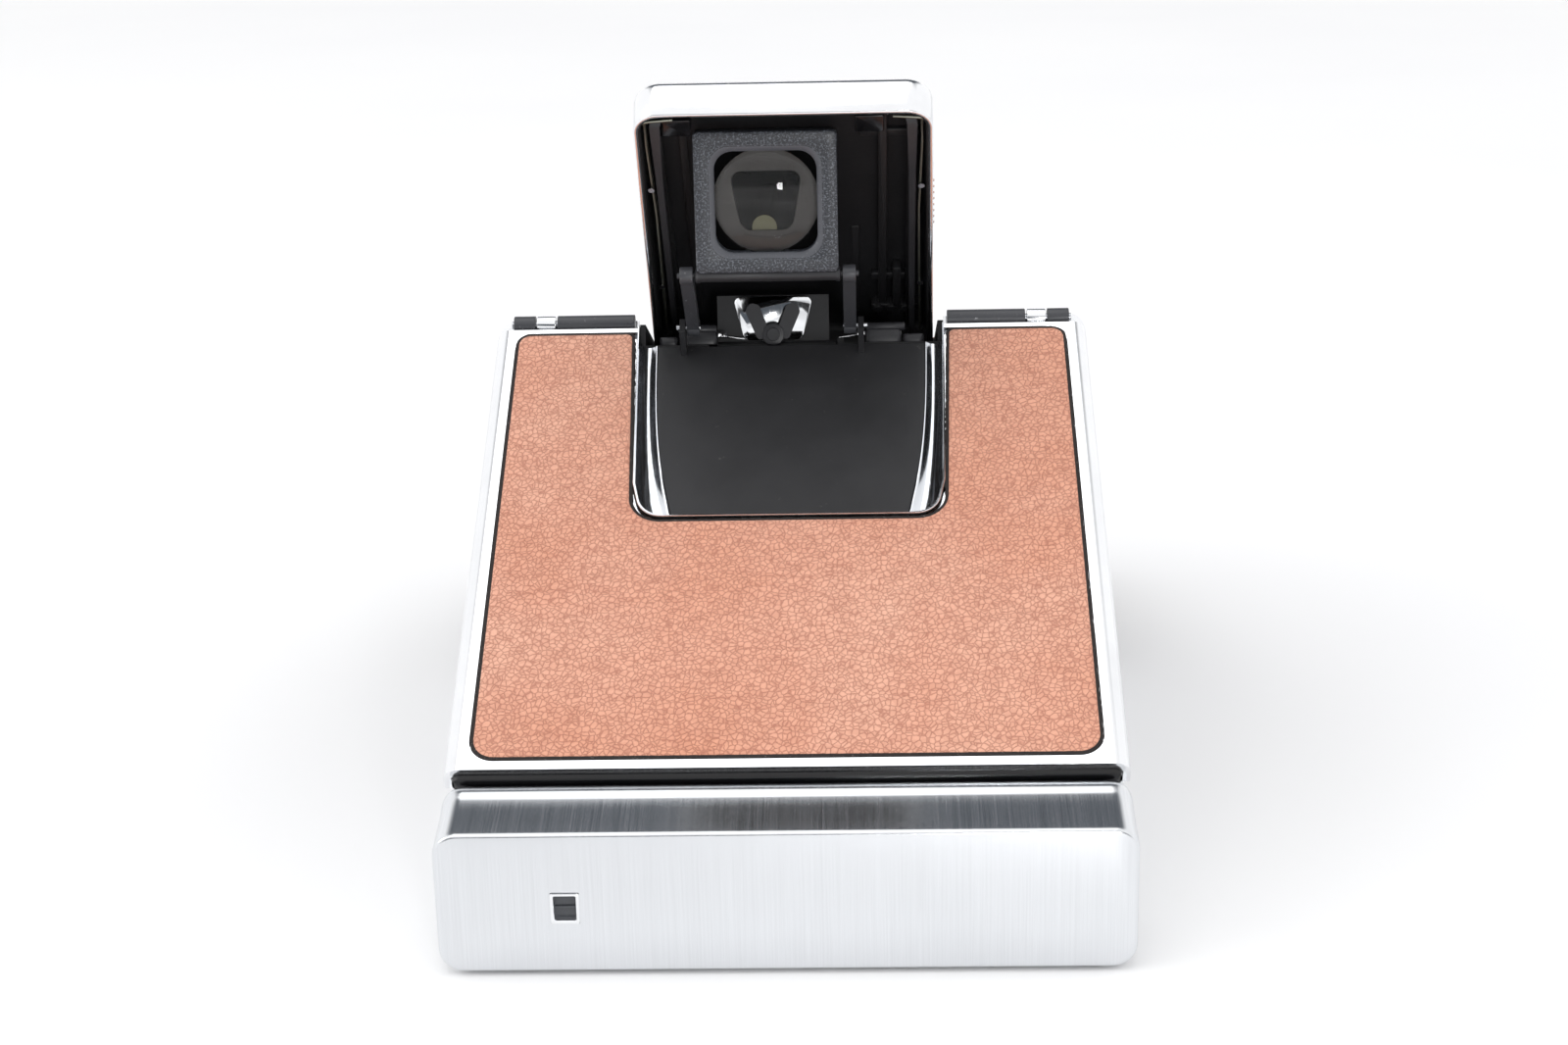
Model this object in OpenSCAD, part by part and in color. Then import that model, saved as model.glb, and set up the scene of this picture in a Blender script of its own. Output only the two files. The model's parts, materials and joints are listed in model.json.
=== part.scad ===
/* [Body] */
// Width across the side trims
body_w = 104; // [103:0.5:106]
// Height of the body under the covers
base_h = 19.1; // [18.8:0.1:19.2]
// Thickness of the metal shells
shell_t = 0.8; // [0.7:0.05:0.9]
// Width of the leather panels
leather_w = 96; // [94:0.5:97]
/* [Erected pose] */
// Slope of the rear cover above level, degrees
rear_slope = 30.1; // [29.9:0.1:30.3]
// Slope of the front cover below level, degrees
front_slope = 23.4; // [23.2:0.1:23.5]
// Angle of the shutter housing above level, degrees
housing_angle = 61.46; // [61.2:0.01:61.6]
// Angle of the viewfinder cap above level, degrees
cap_angle = 50; // [49.5:0.1:50.5]
/* [Viewfinder] */
// Length of the viewfinder cap from its hinge
cap_len = 67.8; // [67.4:0.1:67.9]
// Width of the cap at its free end
cap_w = 49; // [48:0.5:49]
// How far the eyepiece stands to the left of the middle
eye_shift = 3.3; // [2.8:0.1:3.6]
// Side of the square eyepiece
eye_size = 24; // [23.5:0.1:24.2]
/* [Lens] */
// Outer radius of the focusing ring
ring_r = 15; // [14.5:0.1:15.2]
// Radius of the shutter button
button_r = 4.2; // [3.8:0.1:4.5]
/* [Hidden] */
$fn = 48;
gap = 0.3;
run_gap = 0.05;
// Middle of the length, from the counter window's bezel to the nose
body_mid = 88.9;
half_w = body_w / 2;
// Side-view points are [forward, up]
rear_pivot = [9, 22];
rear_len = 103.67;
// Height of the apex hinge line above the hinge line at the rear, square to the rear cover
apex_up = 2.3;
front_len = 61.3;
housing_pivot = [136, 19];
door_pivot = [121.6, 1.5];
door_pin_r = 0.45;
door_knuckle_r = 0.8;
function along(a) = [cos(a), sin(a)];
function upright(a) = [-sin(a), cos(a)];
function place(p, a, y, z) = p + y * along(a) + z * upright(a);
apex = place(rear_pivot, rear_slope, rear_len, apex_up);
cap_fwd = 21.7;
cap_up = 0.7 - apex_up;
cap_pivot = place(apex, -front_slope, cap_fwd, cap_up);
leg_back = -2.15;
leg_up = 3.2;
leg_pin_r = 0.5;
leg_pivot = place(rear_pivot, rear_slope, rear_len + leg_back, leg_up);
eye_pivot = [82.2, 87.9];
mirror_fwd = 6.2;
mirror_up = -1 - apex_up;
mirror_pivot = place(apex, -front_slope, mirror_fwd, mirror_up);
leg_len = norm(eye_pivot - leg_pivot);
leg_angle = atan2(eye_pivot[1] - leg_pivot[1], eye_pivot[0] - leg_pivot[0]) - 180;
mirror_angle = -104;
// Cover skins: top of the skin, its underside and the foot of the side skirt, above the hinge line
skin_top = 3.2;
skin_low = 1.2;
skirt_low = -1.5;
leather_t = 0.9;
pin_r = 0.7;
knuckle_r = 1.5;
rear_y0 = 6.3;
rear_y1 = rear_len - 2.1;
recess_len = 47;
recess_w_apex = 54;
recess_w_rear = 50.4;
recess_wall = 0.4;
front_y0 = 2.1;
front_y1 = front_len - 0.8;
housing_w = 92;
housing_h = 35.6;
housing_d = 12.5;
lens_y = 17.5;
door_y0 = 121;
nose_y = 178;
roller_r = 3.2;
roller_y = 126.5;
film_z = 9.5;
roller_c = roller_r + 0.12;
gear_module = 0.5;
pinion_teeth = 12;
train_teeth = 26;
motor_at = [6.9, 9.5];
train_gap = gear_module * (pinion_teeth + train_teeth) / 2;
first_at = [motor_at[0] + train_gap, motor_at[1]];
second_at = [first_at[0] + gear_module * train_teeth, motor_at[1]];
strut_at = [117, 15.6];
socket_len = 2.3;
strut_len = 32;
strut_angle = 113.9;
counter_x = -32.7;
counter_axis_x = counter_x - 5.4;
counter_z = 11.2;
// Moves a part drawn level, hinge line at its origin, to its pivot and tilt
module at(p, a) {
  translate([0, p[0], p[1]]) rotate([a, 0, 0]) children();
}
// Moves a finished part so that the whole camera stands over the origin
module placed() {
  translate([0, -body_mid, 0]) children();
}
// A block centred on the middle plane
module block(w, y0, y1, z0, z1) {
  translate([-w / 2, y0, z0]) cube([w, y1 - y0, z1 - z0]);
}
// A block between two sideways places
module slab(x0, x1, y0, y1, z0, z1) {
  translate([x0, y0, z0]) cube([x1 - x0, y1 - y0, z1 - z0]);
}
// A rod along the width
module rod(r, x0, x1) {
  translate([x0, 0, 0]) rotate([0, 90, 0]) cylinder(r = r, h = x1 - x0);
}
module both_sides() {
  children();
  mirror([1, 0, 0]) children();
}
// Rectangle with round corners, centred
module soft_rect(w, h, r) {
  square([w - 2 * r, h], center = true);
  square([w, h - 2 * r], center = true);
  for (x = [-1, 1], y = [-1, 1]) translate([x * (w / 2 - r), y * (h / 2 - r)]) circle(r = r);
}
// Outline of a cover in section: flat top, round shoulders, open below
module cover_section(w, top, low, r) {
  translate([-w / 2 + r, low]) square([w - 2 * r, top - low]);
  translate([-w / 2, low]) square([w, top - low - r]);
  for (x = [-1, 1]) translate([x * (w / 2 - r), top - r]) circle(r = r);
}
module run_y(y0, y1) {
  translate([0, y1, 0]) rotate([90, 0, 0]) linear_extrude(y1 - y0) children();
}
// A cover skin: a shallow channel with a pocket for its leather
module cover_skin(y0, y1) {
  difference() {
    run_y(y0, y1) cover_section(body_w, skin_top, skirt_low, 2.6);
    run_y(y0 - 1, y1 + 1) translate([-half_w + 1.2, skirt_low - 1]) square([body_w - 2.4, skin_low - skirt_low + 1]);
    children();
  }
}
// The tapered outline of the recess, from the apex towards the rear
module recess_outline(grow, len) {
  r = 4.5 + grow;
  wa = recess_w_apex / 2 + grow;
  wr = recess_w_rear / 2 + grow;
  y1 = -len - grow;
  polygon([[-wa, 0], [wa, 0], [wr + 0.2, y1 + r], [-wr - 0.2, y1 + r]]);
  translate([-wr + r, y1]) square([2 * (wr - r), 2 * r]);
  for (x = [-1, 1]) translate([x * (wr - r), y1 + r]) circle(r = r);
}
function tooth_ring(teeth, m) = [for (i = [0:teeth - 1], k = [0:3])
  let (a = 360 / teeth * (i + [-0.3, -0.11, 0.11, 0.3][k]), r = m * (teeth / 2 + [-1.1, 0.8, 0.8, -1.1][k]))
  [r * cos(a), r * sin(a)]];
module spur_gear(teeth, m, x0, x1, bore, turn) {
  translate([x0, 0, 0]) rotate([0, 90, 0]) difference() {
    linear_extrude(x1 - x0) rotate(turn) polygon(tooth_ring(teeth, m));
    translate([0, 0, -1]) cylinder(r = bore, h = x1 - x0 + 2);
  }
}
module base_frame() {
  wall_x = 45;
  color("#1c1c1e") difference() {
    union() {
      block(101.8, 13.2, 120.6, 1.5, base_h);
      both_sides() slab(44, 46.9, 7.5, 14, 15, 20.5);
      both_sides() slab(44, 46.9, 7.5, 10.5, 20, 22);
      both_sides() translate([0, rear_pivot[0], rear_pivot[1]]) rod(knuckle_r, 44, 46.9);
      both_sides() slab(47, 49.5, 120, 138, 15, 18.8);
      both_sides() translate([0, housing_pivot[0], housing_pivot[1]]) rod(2, 47, 49.5);
      both_sides() slab(46.8, 50.4, 120.4, 121.6, 1.5, 2.3);
      both_sides() translate([0, door_pivot[0], door_pivot[1]]) rod(door_knuckle_r, 46.8, 50.4);
    }
    both_sides() translate([0, door_pivot[0], door_pivot[1]]) rod(door_pin_r, 46, 51);
    translate([0, 62, 0]) cylinder(r = 6, h = 4);
    translate([counter_axis_x, 13, counter_z]) rotate([-90, 0, 0]) cylinder(r = 1.4 + run_gap, h = 1.4);
    block(2 * wall_x, 15, 122, 3, 17.6);
    block(80, 24, 104, 16, 21);
    slab(-49.6, -46, 80, 119.5, 12.6, 20);
    slab(46, 50, 11.5, 42, 2.2, 16.9);
    both_sides() translate([0, rear_pivot[0], rear_pivot[1]]) rod(pin_r, 43, 48);
    both_sides() translate([0, housing_pivot[0], housing_pivot[1]]) rod(pin_r, 46, 52);
    translate([0, strut_at[0], strut_at[1]]) rod(1, -52, -45.5);
    for (x = [-47.5, 47.5], y = [49, 112]) translate([x, y, 0]) cylinder(r = 1, h = 7);
    translate([0, first_at[0], first_at[1]]) rod(1, 49, 50.95);
    translate([0, second_at[0], second_at[1]]) rod(1, 49, 50.95);
    translate([0, first_at[0], first_at[1]]) rod(1, 45, 47);
    translate([0, second_at[0], second_at[1]]) rod(1, 45, 47);
  }
}
module bottom_plate() {
  color("#2a2a2c") difference() {
    block(101.6, 13.2, 120.4, 0.7, 1.5);
    translate([0, 62, 0]) cylinder(r = 6, h = 4);
    for (x = [-47.5, 47.5], y = [49, 112]) translate([x, y, 0]) cylinder(r = 1, h = 4);
  }
}
module rear_end_cap() {
  color("#cfd1d4") difference() {
    intersection() {
      rotate([90, 0, 90]) translate([0, 0, -half_w]) linear_extrude(body_w)
        polygon([[0, 2], [0.9, 0.7], [13.2, 0.7], [13.2, 25.5], [12, 25.6], [0.6, 23.2], [0, 22.4]]);
      run_y(-1, 14) translate([0, 14.5]) soft_rect(body_w, 27.6, 3.5);
    }
    difference() {
      rotate([90, 0, 90]) translate([0, 0, -half_w + shell_t]) linear_extrude(body_w - 2 * shell_t)
        polygon([[0.9, 1.6], [14, 1.6], [14, 26.6], [13.3, 24.6], [12, 24.6], [0.9, 22.3]]);
      both_sides() slab(49.3, 53, 0, 14, 0, 4.6);
    }
    translate([counter_x, 0.5, counter_z]) cube([4.3, 3, 5], center = true);
  }
}
module side_trims() {
  color("#d9dadd") both_sides() slab(50.9, half_w, 13.2, 120.6, 1.2, base_h + 0.6);
}
module counter_window() {
  color("#4a4b4e") difference() {
    translate([counter_x, 0.35, counter_z]) cube([4.3, 1.1, 5], center = true);
    translate([counter_x, -0.4, counter_z]) cube([3.3, 1.1, 4.2], center = true);
  }
}
module counter_wheel() {
  color("#e8e8e4") translate([counter_axis_x, 3, counter_z]) rotate([-90, 0, 0]) {
    cylinder(r = 8, h = 1);
    cylinder(r = 1.4, h = 11.1);
  }
}
module base_screws() {
  color("#8c8e92") for (x = [-47.5, 47.5], y = [49, 112]) translate([x, y, 0.2]) difference() {
    union() {
      cylinder(r = 1.9, h = 0.5);
      cylinder(r = 1, h = 6);
    }
    translate([-1.5, -0.2, -0.1]) cube([3, 0.4, 0.4]);
  }
}
module feet() {
  color("#141414") for (x = [-40, 40], y = [22, 113]) translate([x, y, 0]) cylinder(r = 3.5, h = 0.7);
  color("#141414") for (x = [-40, 40]) translate([x, 7, 0]) cylinder(r = 3, h = 0.7);
}
module tripod_socket() {
  color("#b9bbbe") translate([0, 62, 0.7]) difference() {
    cylinder(r = 6, h = socket_len);
    translate([0, 0, -1]) cylinder(r = 3.175, h = socket_len + 2);
  }
}
module battery_contacts() {
  color("#c9a24a") for (x = [-22, 22]) {
    slab(x - 2, x + 2, 18, 30, 3, 3.3);
    slab(x - 1, x + 1, 24, 26, 3.3, 3.6);
  }
}
module drive_motor() {
  color("#9a9ca0") translate([0, motor_at[0], motor_at[1]]) difference() {
    union() {
      rod(5.2, 8, 32);
      rod(2.2, 32, 34);
      slab(12, 28, 0, 13.2 - motor_at[0], -3, 3);
    }
    rod(pin_r + run_gap, 30, 34.1);
  }
}
module motor_pinion() {
  color("#c9a24a") translate([0, motor_at[0], motor_at[1]]) {
    rod(pin_r, 30.5, 46.6);
    spur_gear(pinion_teeth, gear_module, 46.6, 48.6, 0.01, 0);
  }
}
module first_gear() {
  color("#d8d8d2") translate([0, first_at[0], first_at[1]])
    spur_gear(train_teeth, gear_module, 47, 49, 1 + run_gap, 0);
}
module second_gear() {
  color("#d8d8d2") translate([0, second_at[0], second_at[1]])
    spur_gear(train_teeth, gear_module, 47, 49, 1 + run_gap, 180 / train_teeth);
}
module gear_axles() {
  color("#a8aaad") for (p = [first_at, second_at]) translate([0, p[0], p[1]]) rod(1, 45.2, 50.85);
}
module pick_arm() {
  color("#b0b2b5") {
    slab(43.4, 44.6, 17, 70, 9, 12);
    slab(41.2, 43.4, 17, 18.4, 9, 12);
  }
}
module hinge_pins() {
  color("#808286") both_sides() {
    translate([0, rear_pivot[0], rear_pivot[1]]) rod(pin_r, 40, 47.4);
    translate([0, housing_pivot[0], housing_pivot[1]]) rod(pin_r, 43, 50.2);
  }
}
module door_pin() {
  color("#808286") translate([0, door_pivot[0], door_pivot[1]]) both_sides() rod(door_pin_r, 40.6, 50.3);
}
// Pleated light-tight boot: a side wall each side between the base and the covers
module bellows() {
  side = [[19, base_h], [96, 71], [149, 47], [136, 24], [119.6, 20.8], [119.6, base_h]];
  color("#151516") both_sides() rotate([90, 0, 90]) translate([0, 0, 41.2]) linear_extrude(1.4) polygon(side);
}
module viewing_screen() {
  color("#3a3d42") block(80, 24, 104, 18.2, 18.8);
}
module cover_strut() {
  color("#202022") at(strut_at, strut_angle) difference() {
    union() {
      slab(-48.8, -47.3, 0, strut_len, -2, 2);
      rod(2, -48.8, -47.3);
      translate([0, strut_len, 0]) rod(2, -48.8, -47.3);
    }
    rod(1 + run_gap, -50, -46);
  }
}
module strut_rivet() {
  color("#808286") translate([0, strut_at[0], strut_at[1]]) rod(1, -50.85, -45.6);
}
module film_door() {
  floor_top = 2.4;
  trough_y = door_y0 + 8.8;
  color("#1c1c1e") difference() {
    union() {
      difference() {
        run_y(door_y0 + gap, nose_y) translate([0, 10.4]) soft_rect(body_w, 19.4, 2.5);
        block(body_w + 2, door_y0 - 1, door_pivot[0] + 1.1, -1, 2.6);
      }
      both_sides() slab(40.5, 46.5, door_pivot[0], door_pivot[0] + 2.4, 0.7, 2.3);
      both_sides() translate([0, door_pivot[0], door_pivot[1]]) rod(door_knuckle_r, 40.5, 46.5);
    }
    block(93.4, trough_y, nose_y - 2.6, floor_top, 30);
    block(93.4, door_y0 - 3, trough_y + 0.1, 2.5, 17.2);
    both_sides() slab(46.5, 50.5, door_y0 - 0.6, 139.5, 14.4, 30);
    block(101, door_y0 - 2, door_y0 + 1.2, 14.2, 21);
    block(36, door_y0 - 2, door_y0 + 2.8, 14.2, 21);
    block(92, nose_y - 4, nose_y + 2, film_z - 2.4, film_z + 2.4);
    for (z = [-1, 1]) translate([0, roller_y, film_z + z * roller_c]) rod(1 + run_gap, -49, 49);
    both_sides() translate([0, door_pivot[0], door_pivot[1]]) rod(door_pin_r + run_gap, 39, 46.8);
    slab(48.4, 53, 150, 160, 7, 13);
  }
}
module door_latch() {
  color("#e5c63a") {
    slab(50.1, half_w, 151, 156, 7.6, 12.4);
    slab(48.6, 50.1, 150.6, 156.4, 7.3, 12.7);
  }
}
module roller_shape(z, turn) {
  translate([0, roller_y, z]) {
    rod(roller_r, -44, 44);
    rod(1, -48.6, 48.6);
    spur_gear(22, roller_c * 2 / 22, 44.2, 45.8, 0.01, turn);
  }
}
module upper_roller() {
  color("#b8babd") roller_shape(film_z + roller_c, 0);
}
module lower_roller() {
  color("#b8babd") roller_shape(film_z - roller_c, 180 / 22);
}
module rear_cover_frame() {
  color("#e2e3e5") at(rear_pivot, rear_slope) {
    difference() {
      cover_skin(rear_y0, rear_y1) {
        rear_leather_outline(0.3, 4);
      }
      translate([0, rear_len, -5]) linear_extrude(20) recess_outline(0, recess_len);
    }
    both_sides() difference() {
      union() {
        slab(40.2, 43.7, 0, 16, -2.4, -0.8);
        slab(40.2, 43.7, 12.5, 16, -0.9, skin_low);
        rod(knuckle_r, 40.2, 43.7);
      }
      rod(pin_r + run_gap, 39, 45);
    }
  }
}
// The rear leather: a panel that reaches up to the apex
module rear_leather_outline(grow, r) {
  y0 = 8.2;
  y1 = rear_len - 3.4;
  translate([0, (y0 + y1) / 2, skin_top - leather_t]) linear_extrude(leather_t + 0.2)
    soft_rect(leather_w + 2 * grow, y1 - y0 + 2 * grow, r);
}
module rear_leather() {
  color("#c98c70") at(rear_pivot, rear_slope) difference() {
    rear_leather_outline(0, 3.7);
    translate([0, rear_len, -5]) linear_extrude(20) recess_outline(0, recess_len);
  }
}
module recess_rim() {
  color("#e2e3e5") at(rear_pivot, rear_slope) difference() {
    translate([0, rear_len, -1.8]) linear_extrude(skin_top + 0.4 + 1.8) recess_outline(0, recess_len);
    translate([0, rear_len, -3]) linear_extrude(20) recess_outline(-recess_wall, recess_len);
    translate([0, rear_len, 1]) block(90, -2.2, 5, -9, 9);
  }
}
module recess_plate() {
  color("#101011") at(rear_pivot, rear_slope) translate([0, rear_len, 0]) difference() {
    union() {
      intersection() {
        translate([0, 0, -2.4]) linear_extrude(0.6) recess_outline(0, recess_len);
        block(90, -60, -2.8, -9, 9);
      }
      translate([-eye_shift, 0, 0]) both_sides() slab(15.2, 16.2, -4.4, -1.1, -2, 4.3);
    }
    translate([0, leg_back, leg_up]) rod(leg_pin_r, -24, 20);
  }
}
module taking_mirror() {
  color("#aab0b6") at(rear_pivot, rear_slope) block(78, 20, 55, skin_low - 1.2, skin_low);
}
module barrel(x0, x1, side) {
  difference() {
    union() {
      rod(1.6, x0, x1);
      slab(x0, x1, min(0, side * 3.6), max(0, side * 3.6), skin_low - apex_up - 0.8, skin_low - apex_up);
    }
    rod(side < 0 ? pin_r : pin_r + run_gap, x0 - 1, x1 + 1);
  }
}
module apex_barrels() {
  color("#3a3b3e") at(apex, rear_slope) both_sides() {
    barrel(45.2, 49, -1);
    barrel(27.6, 41.3, -1);
  }
}
module apex_pins() {
  color("#808286") at(apex, 0) both_sides() rod(pin_r, 27.6, 49.4);
}
// Draws a front cover part with its hinge-line height measured like the rear cover's
module on_front_cover() {
  at(apex, -front_slope) translate([0, 0, -apex_up]) children();
}
module front_cover_frame() {
  color("#e2e3e5") on_front_cover() difference() {
    cover_skin(front_y0, front_y1) {
      front_leather_outline(0.3, 4);
    }
    block(recess_w_apex + 0.1, -1, 25.2, -5, 9);
  }
}
// The front leather: a panel with a notch for the viewfinder
module front_leather_outline(grow, r) {
  translate([0, (3.4 + front_y1 - 3.6) / 2, skin_top - leather_t]) linear_extrude(leather_t + 0.2)
    soft_rect(leather_w + 2 * grow, front_y1 - 7 + 2 * grow, r);
}
module front_leather() {
  color("#c98c70") on_front_cover() difference() {
    front_leather_outline(0, 3.7);
    block(recess_w_apex + 2, -1, 26.2, -5, 9);
  }
}
module front_knuckles() {
  color("#d4d5d8") at(apex, -front_slope) both_sides() barrel(41.6, 44.9, 1);
}
module finder_base() {
  color("#161617") on_front_cover() difference() {
    union() {
      block(recess_w_apex, 3, 25.2, -1.7, -1.2);
      both_sides() slab(recess_w_apex / 2 - 1, recess_w_apex / 2, 3, 25.2, -1.2, 2.6);
      block(recess_w_apex - 2, 24.5, 25.2, -1.2, 2.6);
      translate([-eye_shift, 0, 0]) both_sides() slab(11.5, 12.6, 4.8, 7.6, -1.2, 0);
    }
    block(52, 19, 24.5, -3, 0);
    translate([-eye_shift, mirror_fwd, mirror_up + apex_up]) rod(0.4 + run_gap, -14, 14);
    translate([0, cap_fwd, cap_up + apex_up]) rod(pin_r, -30, 30);
    translate([-eye_shift, 6.2, 0]) block(23, -4, 2.8, -3, 2.7);
  }
}
module finder_springs() {
  color("#c4c6c9") on_front_cover() both_sides() translate([18, 15, 0]) {
    for (i = [0:4]) translate([0, i * 0.9, 0]) rotate([90, 0, 0]) rotate_extrude($fn = 24)
      translate([0.85, 0]) circle(r = 0.3, $fn = 8);
  }
}
module cap_pin() {
  color("#808286") at(cap_pivot, 0) rod(pin_r, -recess_w_apex / 2 + 0.2, recess_w_apex / 2 - 0.2);
}
// Viewfinder cap: a tray that tapers towards its free end
module cap_outline(inset) {
  r = 4.3 - inset;
  wa = cap_w / 2 + 1.2 - inset;
  wr = cap_w / 2 - inset;
  y1 = -cap_len + inset;
  polygon([[-wa, 1.2 - inset], [wa, 1.2 - inset], [wr, y1 + r], [-wr, y1 + r]]);
  translate([-wr + r, y1]) square([2 * (wr - r), 2 * r]);
  for (x = [-1, 1]) translate([x * (wr - r), y1 + r]) circle(r = r);
}
module finder_cap() {
  color("#dcdde0") at(cap_pivot, -cap_angle) difference() {
    translate([0, 0, -1.6]) linear_extrude(7.8) cap_outline(0);
    translate([0, 0, -3]) linear_extrude(8.4) cap_outline(shell_t);
    rod(pin_r + run_gap, -30, 30);
  }
}
module cap_grips() {
  color("#b4b6b9") at(cap_pivot, -cap_angle) both_sides()
    for (i = [0:7]) slab(cap_w / 2 + 0.52, cap_w / 2 + 0.9, -48 + i * 1.6, -47.2 + i * 1.6, 0.5, 4.4);
}
module mirror_carrier() {
  color("#161617") translate([-eye_shift, 0, 0]) at(mirror_pivot, mirror_angle) {
    block(20, -9, 0, 0.1, 0.7);
    rod(0.8, -11.2, 11.2);
    rod(0.4, -12.5, 12.5);
  }
}
module finder_mirror() {
  color("#b8bec4") translate([-eye_shift, 0, 0]) at(mirror_pivot, mirror_angle)
    block(16.6, -8.8, -1, -0.4, 0.1);
}
module eyepiece_legs() {
  color("#1b1b1c") translate([-eye_shift, 0, 0]) at(leg_pivot, leg_angle) difference() {
    both_sides() {
      slab(12.7, 14.9, -leg_len, 0, -1, 1);
      translate([0, -leg_len, 0]) rod(1.5, 12.7, 14.9);
      rod(1.5, 12.7, 14.9);
    }
    rod(leg_pin_r + run_gap, -16, 16);
    translate([0, -leg_len, 0]) rod(leg_pin_r, -16, 16);
  }
}
module eyepiece_pin() {
  color("#3a3b3e") translate([-eye_shift, 0, 0]) at(eye_pivot, 0) rod(leg_pin_r, -15.4, 15.4);
}
module leg_pin() {
  color("#808286") translate([-eye_shift, 0, 0]) at(leg_pivot, 0) both_sides() rod(leg_pin_r, 12.6, 16.8);
}
module eyepiece_frame() {
  color("#4a4b4e") translate([-eye_shift, 0, 0]) at(eye_pivot, -90) difference() {
    union() {
      translate([0, -0.6 - eye_size / 2, -1.5]) linear_extrude(3) soft_rect(eye_size, eye_size, 0.8);
      rod(1.2, -12.4, 12.4);
      block(24, -1.6, 0, -1, 1);
    }
    translate([0, -0.6 - eye_size / 2, -2]) linear_extrude(4) soft_rect(eye_size - 5.2, eye_size - 6, 3.4);
    rod(leg_pin_r + run_gap, -16, 16);
  }
}
module eyepiece_lens() {
  color("#9fb2b8") at(eye_pivot, -90) translate([-eye_shift, -0.6 - eye_size / 2, -0.9]) linear_extrude(1.8)
    soft_rect(eye_size - 5.2, eye_size - 6, 3.4);
}
module housing_back() {
  color("#1c1c1e") at(housing_pivot, housing_angle) difference() {
    union() {
      block(housing_w, 0.5, housing_h, -2, 0);
      both_sides() slab(43.4, 46, 0, 4, -2, 1.4);
      both_sides() rod(2, 43.4, 46);
    }
    both_sides() rod(pin_r + run_gap, 42, 47);
    translate([0, lens_y, -4]) cylinder(r = 8, h = 6);
  }
}
module housing_front() {
  color("#1c1c1e") at(housing_pivot, housing_angle) difference() {
    translate([0, (0.5 + housing_h) / 2, -housing_d]) linear_extrude(housing_d - 2)
      soft_rect(housing_w, housing_h - 0.5, 3);
    translate([0, (0.5 + housing_h) / 2, -housing_d + 1.4]) linear_extrude(housing_d)
      soft_rect(housing_w - 2.8, housing_h - 3.3, 1.6);
    translate([0, lens_y, -20]) cylinder(r = 14, h = 18.5);
    translate([34, 9, -20]) cylinder(r = button_r + 0.35, h = 12);
    slab(26.8, 41.2, 18.8, 33.2, -20, -9);
    slab(-39.4, -28.6, 21.8, 32.6, -20, -9);
    translate([-34, 10, -20]) cylinder(r = 5, h = 12);
    block(44.6, 30, 40, -9.9, -4);
  }
}
module circuit_board() {
  color("#2d6b45") at(housing_pivot, housing_angle) difference() {
    block(86, 3, 28, -3.6, -2);
    translate([0, lens_y, -6]) cylinder(r = 13.2, h = 6);
    translate([0, lens_y, -6]) block(50, 8, 20, -1, 9);
  }
}
module lens_barrel() {
  color("#2a2a2c") at(housing_pivot, housing_angle) translate([0, lens_y, -12]) difference() {
    cylinder(r = 12.5, h = 10);
    translate([0, 0, -1]) cylinder(r = 10.8 + run_gap, h = 5);
    translate([0, 0, -1]) cylinder(r = 8, h = 12);
  }
}
module rear_lens() {
  color("#9fb2b8") at(housing_pivot, housing_angle) translate([0, lens_y, -5]) cylinder(r = 8, h = 2);
}
module front_lens() {
  color("#8fa8b4") at(housing_pivot, housing_angle) translate([0, lens_y, -14.2]) {
    cylinder(r = 7, h = 1.4);
    cylinder(r = 5, h = 2.2);
  }
}
module lens_ring() {
  color("#2e2e30") at(housing_pivot, housing_angle) translate([0, lens_y, -15]) difference() {
    union() {
      cylinder(r = ring_r, h = 2.2);
      cylinder(r = 10.8, h = 6.6);
    }
    translate([0, 0, 2.2]) cylinder(r = 8.6, h = 8);
    translate([0, 0, -1]) cylinder(r = 7, h = 9);
  }
}
module focus_wheel() {
  color("#1b1b1c") at(housing_pivot, housing_angle) translate([34, 26, -14.4]) difference() {
    union() {
      cylinder(r = 6.6, h = 2.2);
      for (i = [0:23]) rotate(i * 15) translate([6.4, -0.3, 0]) cube([0.55, 0.6, 2.2]);
      cylinder(r = 2, h = 6);
    }
    translate([0, 0, -0.1]) cylinder(r = 4.8, h = 0.7);
  }
}
module exposure_wheel() {
  color("#e8e8e4") at(housing_pivot, housing_angle) translate([-34, 27.2, -13.8]) union() {
    cylinder(r = 4.8, h = 2.2);
    for (i = [0:15]) rotate(i * 22.5) translate([4.6, -0.3, 0]) cube([0.5, 0.6, 2.2]);
    cylinder(r = 1.6, h = 5.5);
  }
}
module photocell_lens() {
  color("#22262b") at(housing_pivot, housing_angle) translate([-34, 10, -13]) {
    cylinder(r = 5, h = 2.4);
  }
}
module shutter_button() {
  color("#b5231d") at(housing_pivot, housing_angle) translate([34, 9, -14.6]) {
    cylinder(r = button_r, h = 5);
    translate([0, 0, 3.6]) cylinder(r = button_r + 1, h = 1.4);
  }
}
module flash_socket() {
  color("#101011") at(housing_pivot, housing_angle) difference() {
    block(44, 30.1, housing_h, -9.8, -4.1);
    block(41, 31.2, housing_h + 1, -9.2, -4.7);
  }
}
placed() base_frame();
placed() bottom_plate();
placed() rear_end_cap();
placed() side_trims();
placed() counter_window();
placed() counter_wheel();
placed() base_screws();
placed() feet();
placed() tripod_socket();
placed() battery_contacts();
placed() drive_motor();
placed() motor_pinion();
placed() first_gear();
placed() second_gear();
placed() gear_axles();
placed() pick_arm();
placed() hinge_pins();
placed() door_pin();
placed() bellows();
placed() viewing_screen();
placed() cover_strut();
placed() strut_rivet();
placed() film_door();
placed() door_latch();
placed() upper_roller();
placed() lower_roller();
placed() rear_cover_frame();
placed() rear_leather();
placed() recess_rim();
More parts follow.
